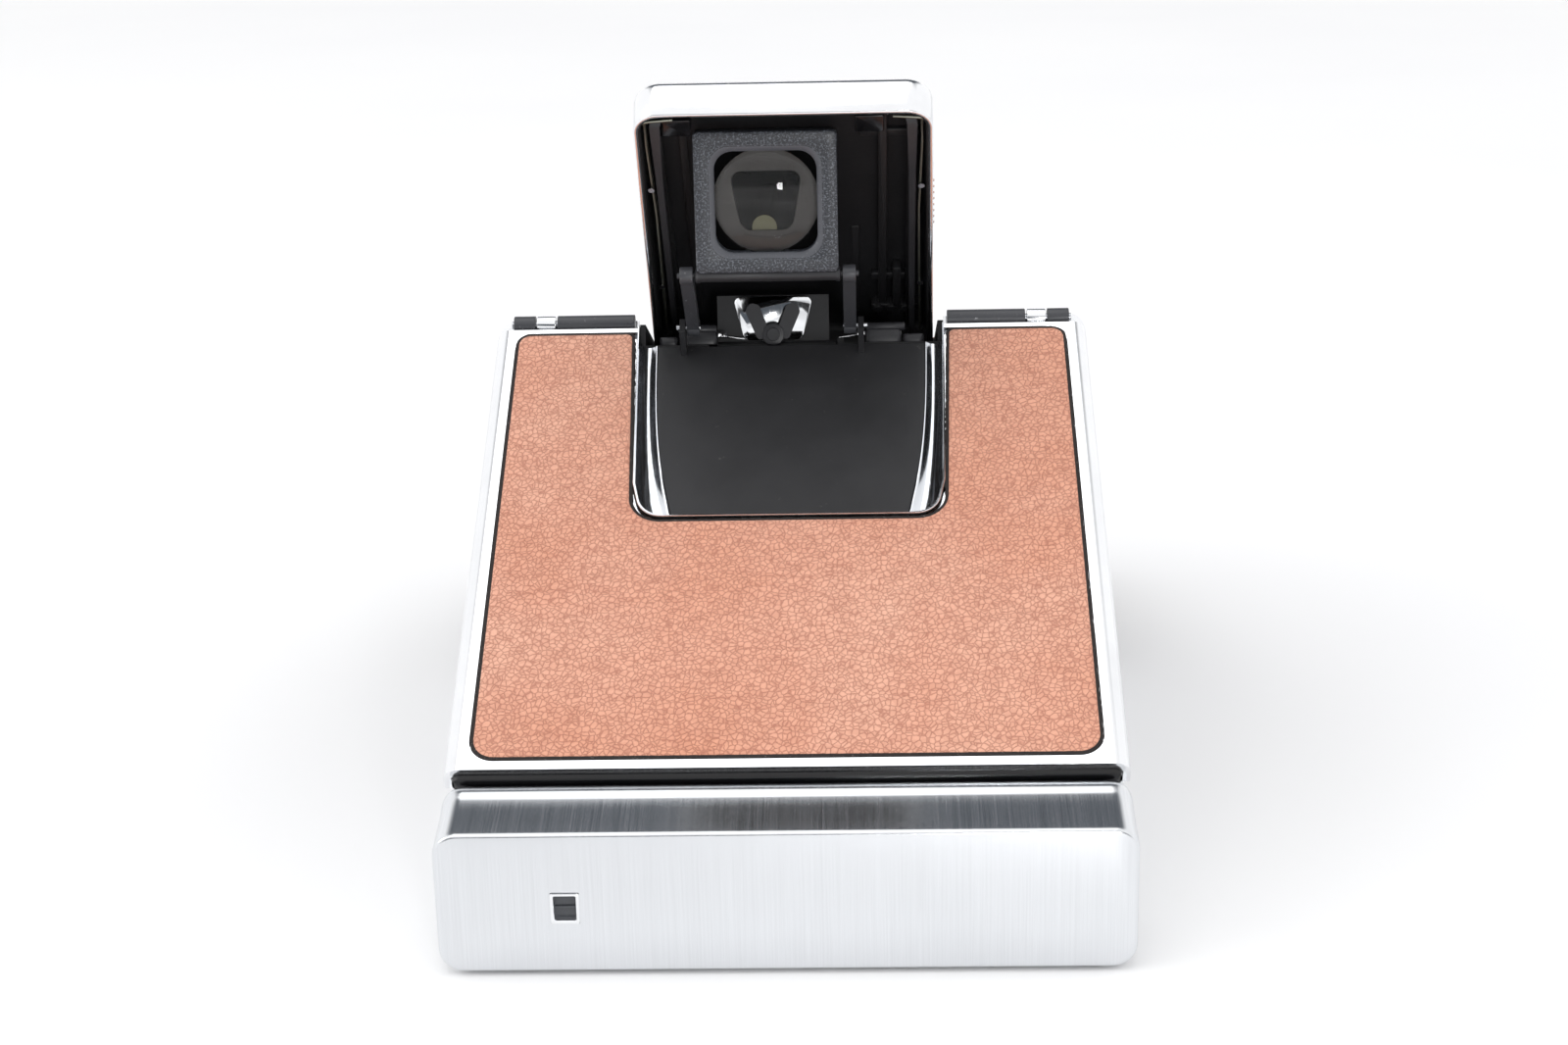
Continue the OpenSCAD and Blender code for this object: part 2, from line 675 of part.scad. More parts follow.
placed() recess_plate();
placed() taking_mirror();
placed() apex_barrels();
placed() apex_pins();
placed() front_cover_frame();
placed() front_leather();
placed() front_knuckles();
placed() finder_base();
placed() finder_springs();
placed() cap_pin();
placed() finder_cap();
placed() cap_grips();
placed() mirror_carrier();
placed() finder_mirror();
placed() leg_pin();
placed() eyepiece_legs();
placed() eyepiece_pin();
placed() eyepiece_frame();
placed() eyepiece_lens();
placed() housing_back();
placed() housing_front();
placed() circuit_board();
placed() lens_barrel();
placed() rear_lens();
placed() lens_ring();
placed() front_lens();
placed() focus_wheel();
placed() exposure_wheel();
placed() photocell_lens();
placed() shutter_button();
placed() flash_socket();
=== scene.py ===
import json
import math
import random

import bmesh
import bpy
from mathutils import Matrix, Vector


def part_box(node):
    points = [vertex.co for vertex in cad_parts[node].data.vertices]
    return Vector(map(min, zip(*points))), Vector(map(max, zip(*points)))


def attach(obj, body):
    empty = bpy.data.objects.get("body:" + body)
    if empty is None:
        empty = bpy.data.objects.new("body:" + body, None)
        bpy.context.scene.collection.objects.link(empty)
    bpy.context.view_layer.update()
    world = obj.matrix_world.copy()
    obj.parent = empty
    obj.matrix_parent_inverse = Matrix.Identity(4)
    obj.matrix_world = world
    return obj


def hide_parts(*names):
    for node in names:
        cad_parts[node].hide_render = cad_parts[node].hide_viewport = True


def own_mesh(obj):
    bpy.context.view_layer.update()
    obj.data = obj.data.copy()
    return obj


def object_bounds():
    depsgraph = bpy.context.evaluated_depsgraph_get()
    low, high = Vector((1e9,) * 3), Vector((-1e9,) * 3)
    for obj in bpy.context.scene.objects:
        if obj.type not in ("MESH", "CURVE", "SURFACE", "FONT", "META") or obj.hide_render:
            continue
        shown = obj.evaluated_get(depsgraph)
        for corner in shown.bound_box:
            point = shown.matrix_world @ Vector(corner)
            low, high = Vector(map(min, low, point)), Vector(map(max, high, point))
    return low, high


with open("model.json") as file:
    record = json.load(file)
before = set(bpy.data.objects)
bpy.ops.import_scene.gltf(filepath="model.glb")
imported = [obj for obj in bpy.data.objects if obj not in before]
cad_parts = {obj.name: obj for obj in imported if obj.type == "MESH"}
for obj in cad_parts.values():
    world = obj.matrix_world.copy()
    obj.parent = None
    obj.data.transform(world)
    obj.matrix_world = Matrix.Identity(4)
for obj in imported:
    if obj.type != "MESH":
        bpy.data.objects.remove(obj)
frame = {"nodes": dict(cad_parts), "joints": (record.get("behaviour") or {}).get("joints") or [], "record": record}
cad_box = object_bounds()

MM = 0.001
JOINTS = {joint["name"]: joint for joint in frame["joints"]}


# ---------------------------------------------------------------- frames of the moving parts
def pivot(name):
    return Vector(JOINTS[name]["pos_m"])


REAR = pivot("cover_fold")
APEX = pivot("front_cover_fold")
CAP = pivot("cap_fold")
EYE = pivot("eyepiece_fold")
MIRROR = pivot("mirror_fold")
HOUSING = pivot("housing_fold")
REAR_SLOPE = math.radians(-JOINTS["cover_fold"]["range_deg"][0])
FRONT_SLOPE = math.radians(JOINTS["front_cover_fold"]["range_deg"][1]) - REAR_SLOPE
HOUSING_ANGLE = math.radians(-JOINTS["housing_fold"]["range_deg"][0])
CAP_ANGLE = math.radians(JOINTS["cap_fold"]["range_deg"][1]) + FRONT_SLOPE


def tilt(origin, angle):
    """Local millimetres, drawn level with the hinge line at the origin, to the row frame in metres."""
    return Matrix.Translation(origin) @ Matrix.Rotation(angle, 4, "X") @ Matrix.Scale(MM, 4)


IN_BASE = tilt(Vector((0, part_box("rear_end_cap")[0].y, 0)), 0)
IN_REAR = tilt(REAR, REAR_SLOPE)
APEX_IN_REAR = IN_REAR.inverted() @ APEX
REAR_LEN, APEX_UP = APEX_IN_REAR.y, APEX_IN_REAR.z
IN_RECESS = IN_REAR @ Matrix.Translation((0, REAR_LEN, 0))
IN_FRONT = tilt(APEX, -FRONT_SLOPE) @ Matrix.Translation((0, 0, -APEX_UP))
IN_CAP = tilt(CAP, -CAP_ANGLE)
EYE_X = (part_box("eyepiece_frame")[0].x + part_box("eyepiece_frame")[1].x) / 2 / MM
IN_EYE = tilt(EYE, -math.pi / 2) @ Matrix.Translation((EYE_X, 0, 0))
MIRROR_LEAN = math.radians(104)
IN_MIRROR = tilt(MIRROR, -MIRROR_LEAN) @ Matrix.Translation((EYE_X, 0, 0))
IN_HOUSING = tilt(HOUSING, HOUSING_ANGLE)


# ---------------------------------------------------------------- material kit
class Paint:
    """Builds one node material around a Principled shader."""

    def __init__(self, name):
        self.material = bpy.data.materials.new(name)
        self.material.use_nodes = True
        self.tree = self.material.node_tree
        self.shader = self.tree.nodes["Principled BSDF"]
        self.where = self.tree.nodes.new("ShaderNodeTexCoord").outputs["Object"]

    def set(self, **values):
        for key, value in values.items():
            self.shader.inputs[key.replace("_", " ")].default_value = value
        return self

    def join(self, source, socket):
        self.tree.links.new(source, self.shader.inputs[socket])

    def stretch(self, scale):
        node = self.tree.nodes.new("ShaderNodeMapping")
        node.inputs["Scale"].default_value = scale
        self.tree.links.new(self.where, node.inputs["Vector"])
        return node.outputs["Vector"]

    def noise(self, scale, detail=4.0, rough=0.55, vector=None, distortion=0.0):
        node = self.tree.nodes.new("ShaderNodeTexNoise")
        node.inputs["Scale"].default_value = scale
        node.inputs["Detail"].default_value = detail
        node.inputs["Roughness"].default_value = rough
        node.inputs["Distortion"].default_value = distortion
        self.tree.links.new(vector or self.where, node.inputs["Vector"])
        return node.outputs["Fac"]

    def cracks(self, scale, vector):
        """The distance to the nearest edge between two cells, for the grain of leather."""
        node = self.tree.nodes.new("ShaderNodeTexVoronoi")
        node.feature = "DISTANCE_TO_EDGE"
        node.inputs["Scale"].default_value = scale
        self.tree.links.new(vector, node.inputs["Vector"])
        return node.outputs["Distance"]

    def ramp(self, source, stops):
        node = self.tree.nodes.new("ShaderNodeValToRGB")
        elements = node.color_ramp.elements
        while len(elements) < len(stops):
            elements.new(0.5)
        for element, (position, colour) in zip(elements, stops):
            element.position = position
            element.color = colour if isinstance(colour, tuple) else (colour, colour, colour, 1)
        self.tree.links.new(source, node.inputs["Fac"])
        return node.outputs["Color"]

    def mix(self, factor, first, second, mode="MIX"):
        node = self.tree.nodes.new("ShaderNodeMix")
        node.data_type = "RGBA"
        node.blend_type = mode
        for socket, value in ((node.inputs[0], factor), (node.inputs[6], first), (node.inputs[7], second)):
            if isinstance(value, (int, float, tuple)):
                socket.default_value = value
            else:
                self.tree.links.new(value, socket)
        return node.outputs[2]

    def bump(self, height, distance, strength=1.0):
        node = self.tree.nodes.new("ShaderNodeBump")
        node.inputs["Distance"].default_value = distance
        node.inputs["Strength"].default_value = strength
        self.tree.links.new(height, node.inputs["Height"])
        if self.shader.inputs["Normal"].is_linked:
            self.tree.links.new(self.shader.inputs["Normal"].links[0].from_socket, node.inputs["Normal"])
        self.join(node.outputs["Normal"], "Normal")


def rgb(red, green, blue):
    """An sRGB colour, 0 to 255, as linear values."""
    def linear(value):
        value /= 255
        return value / 12.92 if value <= 0.04045 else ((value + 0.055) / 1.055) ** 2.4
    return (linear(red), linear(green), linear(blue), 1.0)


def brushed(name, colour, across, rough=(0.24, 0.40), depth=0.00001):
    """Metal brushed in one direction: noise squeezed across the strokes and drawn out along them."""
    paint = Paint(name).set(Metallic=1.0)
    strokes = paint.noise(1.0, 3, 0.7, paint.stretch(across))
    fine = paint.noise(1.0, 2, 0.6, paint.stretch(tuple(3.1 * value for value in across)))
    both = paint.mix(0.5, strokes, fine)
    cloud = paint.noise(38, 4, 0.6)
    tone = paint.mix(0.35, paint.ramp(both, [(0.3, tuple(0.8 * c for c in colour[:3]) + (1,)),
                                             (0.7, colour)]),
                     paint.ramp(cloud, [(0.3, tuple(0.93 * c for c in colour[:3]) + (1,)), (0.7, colour)]))
    paint.join(tone, "Base Color")
    paint.join(paint.ramp(both, [(0.3, rough[0]), (0.75, rough[1])]), "Roughness")
    paint.bump(both, depth, 0.35)
    return paint.material


def polished(name, colour, rough=0.09):
    """Bright plated metal with faint smudges and fine handling scratches."""
    paint = Paint(name).set(Metallic=1.0)
    smudge = paint.noise(55, 5, 0.65)
    paint.join(paint.ramp(smudge, [(0.35, tuple(0.93 * c for c in colour[:3]) + (1,)), (0.65, colour)]),
               "Base Color")
    scratch = paint.noise(1.0, 2, 0.5, paint.stretch((2600, 190, 260)))
    marks = paint.ramp(scratch, [(0.62, 0.0), (0.72, 0.09)])
    base = paint.ramp(smudge, [(0.3, rough), (0.7, rough + 0.10)])
    paint.join(paint.mix(1.0, base, marks, "ADD"), "Roughness")
    paint.bump(paint.noise(240, 3, 0.5), 0.00001, 0.12)
    return paint.material


def leather(name):
    """Worn tan leather: fine pebbles, soft wrinkles, faint stains."""
    paint = Paint(name).set(Specular_IOR_Level=0.42, Sheen_Weight=0.12, Sheen_Roughness=0.5)
    warp = paint.noise(420, 3, 0.6)
    bent = paint.tree.nodes.new("ShaderNodeVectorMath")
    bent.operation = "MULTIPLY_ADD"
    bent.inputs[1].default_value = (1, 1, 1)
    shift = paint.tree.nodes.new("ShaderNodeVectorMath")
    shift.operation = "SCALE"
    shift.inputs["Scale"].default_value = 0.0011
    paint.tree.links.new(warp, shift.inputs[0])
    paint.tree.links.new(paint.where, bent.inputs[0])
    paint.tree.links.new(shift.outputs[0], bent.inputs[2])
    pebbles = paint.cracks(1150, bent.outputs[0])
    small = paint.cracks(2300, bent.outputs[0])
    folds = paint.noise(520, 5, 0.62, paint.stretch((0.75, 1.5, 1.5)))
    valleys = paint.ramp(pebbles, [(0.0, 0.0), (0.16, 1.0)])
    broad = paint.noise(26, 4, 0.6, distortion=0.4)
    stain = paint.noise(62, 5, 0.7)
    light_tan = rgb(231, 176, 151)
    mid_tan = rgb(225, 164, 138)
    warm_tan = rgb(219, 153, 124)
    skin = paint.ramp(broad, [(0.3, warm_tan), (0.48, mid_tan), (0.68, light_tan)])
    skin = paint.mix(paint.ramp(stain, [(0.60, 0.0), (0.74, 0.22)]), skin, rgb(166, 102, 78))
    skin = paint.mix(paint.ramp(folds, [(0.44, 0.20), (0.54, 0.0)]), skin, rgb(166, 98, 76))
    skin = paint.mix(paint.ramp(valleys, [(0.0, 0.62), (0.8, 0.0)]), skin, rgb(146, 82, 62))
    paint.join(skin, "Base Color")
    paint.join(paint.ramp(broad, [(0.3, 0.46), (0.7, 0.60)]), "Roughness")
    paint.bump(folds, 0.00012, 0.6)
    paint.bump(paint.mix(0.35, valleys, small), 0.00014, 0.9)
    return paint.material


def moulded(name, colour, rough=0.55, grain=1500, depth=0.00004, wear=None, shine=0.4):
    """Moulded plastic or paint with a fine spark-eroded texture, and rubbed spots where wear is given."""
    paint = Paint(name).set(Specular_IOR_Level=shine)
    cloud = paint.noise(70, 4, 0.6)
    darker = tuple(0.8 * c for c in colour[:3]) + (1,)
    tone = paint.ramp(cloud, [(0.3, darker), (0.7, colour)])
    if wear:
        spots = paint.noise(wear[0], 6, 0.75)
        tone = paint.mix(paint.ramp(spots, [(wear[1], 0.0), (wear[1] + 0.07, 1.0)]), tone, wear[2])
    paint.join(tone, "Base Color")
    paint.join(paint.ramp(cloud, [(0.3, rough - 0.06), (0.7, rough + 0.08)]), "Roughness")
    paint.bump(paint.noise(grain, 3, 0.6), depth, 0.6)
    return paint.material


def glass(name, tint):
    """A coated lens element: clear, hardly bending the light, with a faint reflection."""
    paint = Paint(name).set(Base_Color=tint, Roughness=0.02, IOR=1.03, Transmission_Weight=1.0)
    paint.set(Coat_Weight=1.0, Coat_Roughness=0.015, Coat_IOR=1.28)
    paint.bump(paint.noise(160, 2, 0.5), 0.000004, 0.1)
    return paint.material


MATERIALS = {
    "brushed": brushed("brushed_metal", rgb(228, 230, 233), (3400, 24, 24), (0.15, 0.28), 0.000008),
    "bright": polished("bright_plate", rgb(240, 241, 243)),
    "steel": brushed("turned_steel", rgb(190, 192, 196), (60, 900, 900), (0.2, 0.34)),
    "brass": polished("yellow_metal", rgb(214, 178, 98), 0.18),
    "leather": leather("tan_leather"),
    "black_plastic": moulded("black_moulding", rgb(30, 30, 32), 0.5),
    "dark_metal": moulded("dark_enamel", rgb(66, 67, 71), 0.32, 900, 0.00002,
                          (900, 0.64, rgb(150, 151, 155))),
    "recess_black": moulded("matt_black", rgb(48, 48, 50), 0.42, 1200, 0.00002, (420, 0.66, rgb(92, 90, 88))),
    "rubber": moulded("black_rubber", rgb(24, 24, 24), 0.75, 700, 0.00006),
    "bellows_black": moulded("pleat_rubber", rgb(22, 22, 23), 0.62, 1100, 0.00005),
    "gear_plastic": moulded("gear_moulding", rgb(214, 212, 202), 0.4),
    "number_white": moulded("white_moulding", rgb(222, 221, 214), 0.38),
    "button_red": moulded("red_moulding", rgb(176, 34, 26), 0.3, 900, 0.00002),
    "latch_yellow": moulded("yellow_moulding", rgb(214, 170, 44), 0.35),
    "board_green": moulded("board_laminate", rgb(34, 92, 60), 0.35),
    "eye_grey": moulded("worn_black_paint", rgb(50, 52, 57), 0.36, 1600, 0.00004,
                        (2800, 0.52, rgb(108, 113, 121))),
    "dark_glass": moulded("smoked_window", rgb(74, 76, 80), 0.14, 500, 0.000005),
    "cut_edge": moulded("cut_edge", rgb(34, 28, 26), 0.7, 1400, 0.00008, (1900, 0.62, rgb(120, 112, 108))),
    "gloss_black": moulded("gloss_black", rgb(16, 16, 18), 0.16, 500, 0.000004),
    "deep_black": moulded("deep_black", rgb(8, 8, 9), 0.8, 700, 0.00001, None, 0.05),
    "rubbed_edge": moulded("rubbed_edge", rgb(88, 90, 96), 0.34, 1800, 0.00002,
                           (3000, 0.6, rgb(126, 129, 134))),
    "satin_black": moulded("satin_black", rgb(48, 48, 51), 0.36, 800, 0.00001),
    "seat_grey": moulded("seat_grey", rgb(74, 71, 70), 0.55, 600, 0.00001),
    # A flat olive colour with no emission: painted light that stands for the glint seen through the finder at the
    # foot of the opening.
    "olive_glow": moulded("painted_finder_glint", rgb(112, 110, 84), 0.4, 600, 0.00001),
    "worn_steel": brushed("worn_strip", rgb(150, 152, 140), (900, 60, 900), (0.32, 0.5)),
    "dish_plate": polished("dish_plate", rgb(226, 229, 234), 0.07),
    "glass_lens": glass("coated_lens", rgb(242, 242, 241)),
    "mirror": polished("silvered_mirror", rgb(232, 234, 236), 0.02),
}


# ---------------------------------------------------------------- CAD nodes: materials and crisp edges
SLOT_OF = {item["node"]: item["material_slot"] for item in frame["record"]["subparts"]}
SOFT_EDGE = {"rear_end_cap": 0.7, "rear_cover_frame": 0.35, "front_cover_frame": 0.35, "film_door": 0.5,
             "housing_front": 0.6, "finder_cap": 0.35, "lens_ring": 0.3, "shutter_button": 0.4}
EDGE = 0.12


def crisp_edges(obj, width):
    weld = obj.modifiers.new("weld", "WELD")
    weld.merge_threshold = 1e-6
    bevel = obj.modifiers.new("edge", "BEVEL")
    bevel.width = width * MM
    bevel.segments = 3
    bevel.limit_method = "ANGLE"
    bevel.angle_limit = math.radians(32)
    bevel.use_clamp_overlap = True
    bevel.harden_normals = False
    smooth = obj.modifiers.new("normals", "WEIGHTED_NORMAL")
    smooth.keep_sharp = False
    for polygon in obj.data.polygons:
        polygon.use_smooth = True


for node_name, node_object in frame["nodes"].items():
    node_object.data.materials.clear()
    node_object.data.materials.append(MATERIALS[SLOT_OF[node_name]])
    crisp_edges(node_object, SOFT_EDGE.get(node_name, EDGE))


# ---------------------------------------------------------------- shape kit
def rounded(corners, steps=6):
    """A closed loop of points from corners (x, y, radius), each corner drawn as an arc."""
    loop = []
    for index, (x, y, radius) in enumerate(corners):
        here = Vector((x, y))
        back = (Vector(corners[index - 1][:2]) - here).normalized()
        ahead = (Vector(corners[(index + 1) % len(corners)][:2]) - here).normalized()
        half = back.angle(ahead) / 2
        centre = here + (back + ahead).normalized() * radius / math.sin(half)
        first = here + back * radius / math.tan(half) - centre
        last = here + ahead * radius / math.tan(half) - centre
        sweep = math.atan2(first.x * last.y - first.y * last.x, first.dot(last))
        for step in range(steps + 1):
            turn = sweep * step / steps
            loop.append(centre + Vector((first.x * math.cos(turn) - first.y * math.sin(turn),
                                         first.x * math.sin(turn) + first.y * math.cos(turn))))
    return loop


def box_loop(x0, x1, y0, y1, radius, steps=6):
    return rounded([(x0, y0, radius), (x1, y0, radius), (x1, y1, radius), (x0, y1, radius)], steps)


def circle_loop(x, y, radius, count=48):
    return [Vector((x + radius * math.cos(2 * math.pi * k / count),
                    y + radius * math.sin(2 * math.pi * k / count)))
            for k in range(count)]


def shrink(loop, inset):
    """The loop moved inwards by inset; it runs anticlockwise."""
    moved = []
    for index, point in enumerate(loop):
        into = (point - loop[index - 1]).normalized()
        out = (loop[(index + 1) % len(loop)] - point).normalized()
        side = Vector((-into.y, into.x)) + Vector((-out.y, out.x))
        moved.append(point + side.normalized() * inset * min(2 / side.length, 1.5))
    return moved


def at_height(loop, z):
    return [(point.x, point.y, z) for point in loop]


def stacked(loop, profile):
    """Rings of one loop, each (inset, height) of the profile."""
    return [at_height(shrink(loop, inset), z) for inset, z in profile]


class Shape:
    """Collects rings and faces for one mesh, in local millimetres."""

    def __init__(self):
        self.mesh = bmesh.new()

    def ring(self, points):
        return [self.mesh.verts.new(point) for point in points]

    def skin(self, rings, first=False, last=False, wrap=False, open_ring=False):
        """Joins rings of the same count one after the other; first and last close the two ends."""
        made = [self.ring(points) for points in rings]
        pairs = list(zip(made, made[1:])) + ([(made[-1], made[0])] if wrap else [])
        for low, high in pairs:
            for index in range(len(low) - (1 if open_ring else 0)):
                after = (index + 1) % len(low)
                self.mesh.faces.new((low[index], low[after], high[after], high[index]))
        if first:
            self.mesh.faces.new(list(reversed(made[0])))
        if last:
            self.mesh.faces.new(made[-1])

    def block(self, x0, x1, y0, y1, z0, z1, soft=0.2, corner=0.0):
        """A block with rounded edges and corners."""
        loop = box_loop(x0, x1, y0, y1, max(corner, soft * 1.4), 4)
        edge = soft * 0.3
        self.skin(stacked(loop, [(soft, z0), (edge, z0 + edge), (0, z0 + soft), (0, z1 - soft),
                                 (edge, z1 - edge), (soft, z1)]), True, True)

    def turned(self, profile, x=0.0, y=0.0, count=48):
        """A turned piece: (radius, height) points about a line along local z."""
        self.skin([at_height(circle_loop(x, y, radius, count), z) for radius, z in profile], True, True)

    def bar(self, profile, y=0.0, z=0.0, count=28):
        """A turned piece lying along x: (radius, x) points."""
        rings = [[(x, y + radius * math.cos(2 * math.pi * k / count),
                   z + radius * math.sin(2 * math.pi * k / count))
                  for k in range(count)] for radius, x in profile]
        self.skin(rings, True, True)

    def wire(self, path, radius, count=10):
        """Round wire along a path of points."""
        rings = []
        for index, point in enumerate(path):
            ahead = Vector(path[min(index + 1, len(path) - 1)]) - Vector(path[max(index - 1, 0)])
            turn = ahead.to_track_quat("Z", "Y")
            rings.append([Vector(point) + turn @ Vector((radius * math.cos(2 * math.pi * k / count),
                                                         radius * math.sin(2 * math.pi * k / count), 0))
                          for k in range(count)])
        self.skin(rings, True, True)

    def piece(self, name, material, place, body, replaces=(), sharp=35, bevel=None):
        """Finishes the mesh in the row frame, gives it its looks and lets it ride its body."""
        bmesh.ops.recalc_face_normals(self.mesh, faces=self.mesh.faces)
        self.mesh.normal_update()
        wide = [face for face in self.mesh.faces if len(face.verts) > 4]
        bmesh.ops.triangulate(self.mesh, faces=wide, ngon_method="EAR_CLIP")
        self.mesh.transform(place)
        for edge in self.mesh.edges:
            edge.smooth = len(edge.link_faces) != 2 or edge.calc_face_angle() < math.radians(sharp)
        for face in self.mesh.faces:
            face.smooth = True
        data = bpy.data.meshes.new(name)
        self.mesh.to_mesh(data)
        self.mesh.free()
        obj = bpy.data.objects.new(name, data)
        bpy.context.scene.collection.objects.link(obj)
        data.materials.append(MATERIALS[material])
        if bevel:
            soften = obj.modifiers.new("edge", "BEVEL")
            soften.width, soften.segments, soften.limit_method = bevel * MM, 2, "ANGLE"
            soften.angle_limit = math.radians(35)
        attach(obj, body)
        if replaces:
            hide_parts(*replaces)
        return obj


# ---------------------------------------------------------------- leather panels
SKIN_TOP = 3.2
RAGGED = random.Random(7)


def ragged(loop, amount):
    return [point + Vector((RAGGED.uniform(-amount, amount), RAGGED.uniform(-amount, amount)))
            for point in loop]


def dense(loop, step):
    """The same loop with extra points, so that its straight runs can be uneven."""
    points = []
    for index, point in enumerate(loop):
        after = loop[(index + 1) % len(loop)]
        count = max(1, int((after - point).length / step))
        points += [point.lerp(after, k / count) for k in range(count)]
    return points


def leather_panel(name, loop, place, body, node):
    hide = Shape()
    hide.skin(stacked(loop, [(0.35, SKIN_TOP - 0.5), (0.32, SKIN_TOP + 0.04), (0.42, SKIN_TOP + 0.16),
                             (0.62, SKIN_TOP + 0.24), (1.1, SKIN_TOP + 0.29)]), False, True)
    hide.piece(name + "_skin", "leather", place, body, [node], 70)
    rim = Shape()
    wide = ragged(dense(shrink(loop, -0.2), 0.6), 0.09)
    rim.skin([at_height(wide, SKIN_TOP - 0.4), at_height(wide, SKIN_TOP + 0.05),
              at_height(shrink(wide, 0.4), SKIN_TOP + 0.12),
              at_height(ragged(shrink(wide, 0.72), 0.1), SKIN_TOP + 0.06)])
    rim.piece(name + "_edge", "cut_edge", place, body, (), 60)


HIDE_W = 48.0
TOP_Y = REAR_LEN - 3.4
NOTCH_Y = REAR_LEN - 47.5
leather_panel("rear_leather", rounded([
    (-HIDE_W, 8.2, 3.7), (HIDE_W, 8.2, 3.7), (HIDE_W, TOP_Y, 2.4), (27.5, TOP_Y, 1.3), (25.9, NOTCH_Y, 5.0),
    (-25.9, NOTCH_Y, 5.0), (-27.5, TOP_Y, 1.3), (-HIDE_W, TOP_Y, 2.4)], 8), IN_REAR, "rear_cover",
    "rear_leather")
leather_panel("front_leather", rounded([
    (-HIDE_W, 3.4, 2.4), (-28.1, 3.4, 1.3), (-28.1, 26.3, 1.2), (28.1, 26.3, 1.2), (28.1, 3.4, 1.3),
    (HIDE_W, 3.4, 2.4), (HIDE_W, 56.9, 3.7), (-HIDE_W, 56.9, 3.7)], 8), IN_FRONT, "front_cover", "front_leather")


# ---------------------------------------------------------------- recess for the folded finder
def across(left):
    """The left half of an outline, its straight far end and the mirrored right half."""
    end, steps = left[-1], 12
    far = [Vector((end.x - 2 * end.x * k / steps, end.y)) for k in range(1, steps)]
    return left + far + [Vector((-point.x, point.y)) for point in reversed(left)]


def recess_dish():
    """The plated dish: a crest round the outside, a hollow channel and the bowed edge of the dark plate."""
    side_steps, turn_steps, turn_r = 12, 10, 4.6
    outer = [Vector((-27 + 0.075 * k, -2.3 - 3.1 * k)) for k in range(side_steps + 1)]
    quarter = [math.pi / 2 * k / turn_steps for k in range(1, turn_steps + 1)]
    turn_mid = Vector((-20.8, -42.4))
    left = outer + [turn_mid - turn_r * Vector((math.cos(a), math.sin(a))) for a in quarter]
    path = across(left)

    def bowed(t):
        """Half the width of the dark plate at the share t of its length."""
        return 23.7 - 0.8 * t - 3.7 * t ** 3

    inner = [Vector((-bowed(-point.y / 44), max(point.y, -41.5))) for point in outer]
    turn = [Vector((-bowed(0.93) + 1.9 - 1.9 * math.cos(a) + 0.5 * math.sin(a), -41.6 - 2.3 * math.sin(a)))
            for a in quarter]
    plate = across(inner + turn)
    section = [(0.0, -1.6), (0.0, 3.1), (0.012, 3.5), (0.04, 3.7), (0.095, 3.68), (0.115, 3.3), (0.125, 0.6),
               (0.14, -0.6), (0.24, -1.3), (0.45, -1.62), (0.7, -1.5), (0.86, -1.2), (0.93, -1.06),
               (0.97, -1.08), (1.0, -1.3), (1.0, -1.7)]
    dish = Shape()
    rings = []
    for share, z in section:
        rings.append([(a.x + (b.x - a.x) * share, a.y + (b.y - a.y) * share, z) for a, b in zip(path, plate)])
    dish.skin(rings, open_ring=True)
    dish.piece("recess_dish", "dish_plate", IN_RECESS, "rear_cover", ["recess_rim"], 50)
    floor = Shape()
    floor.skin([at_height(plate, -1.75), at_height(plate, -1.42)], True, True)
    floor.piece("recess_floor", "recess_black", IN_RECESS, "rear_cover", (), 50)


recess_dish()


# ---------------------------------------------------------------- rear end cap and its counter window
HALF_W = 52
WINDOW_X, WINDOW_Z = -32.7, 11.2


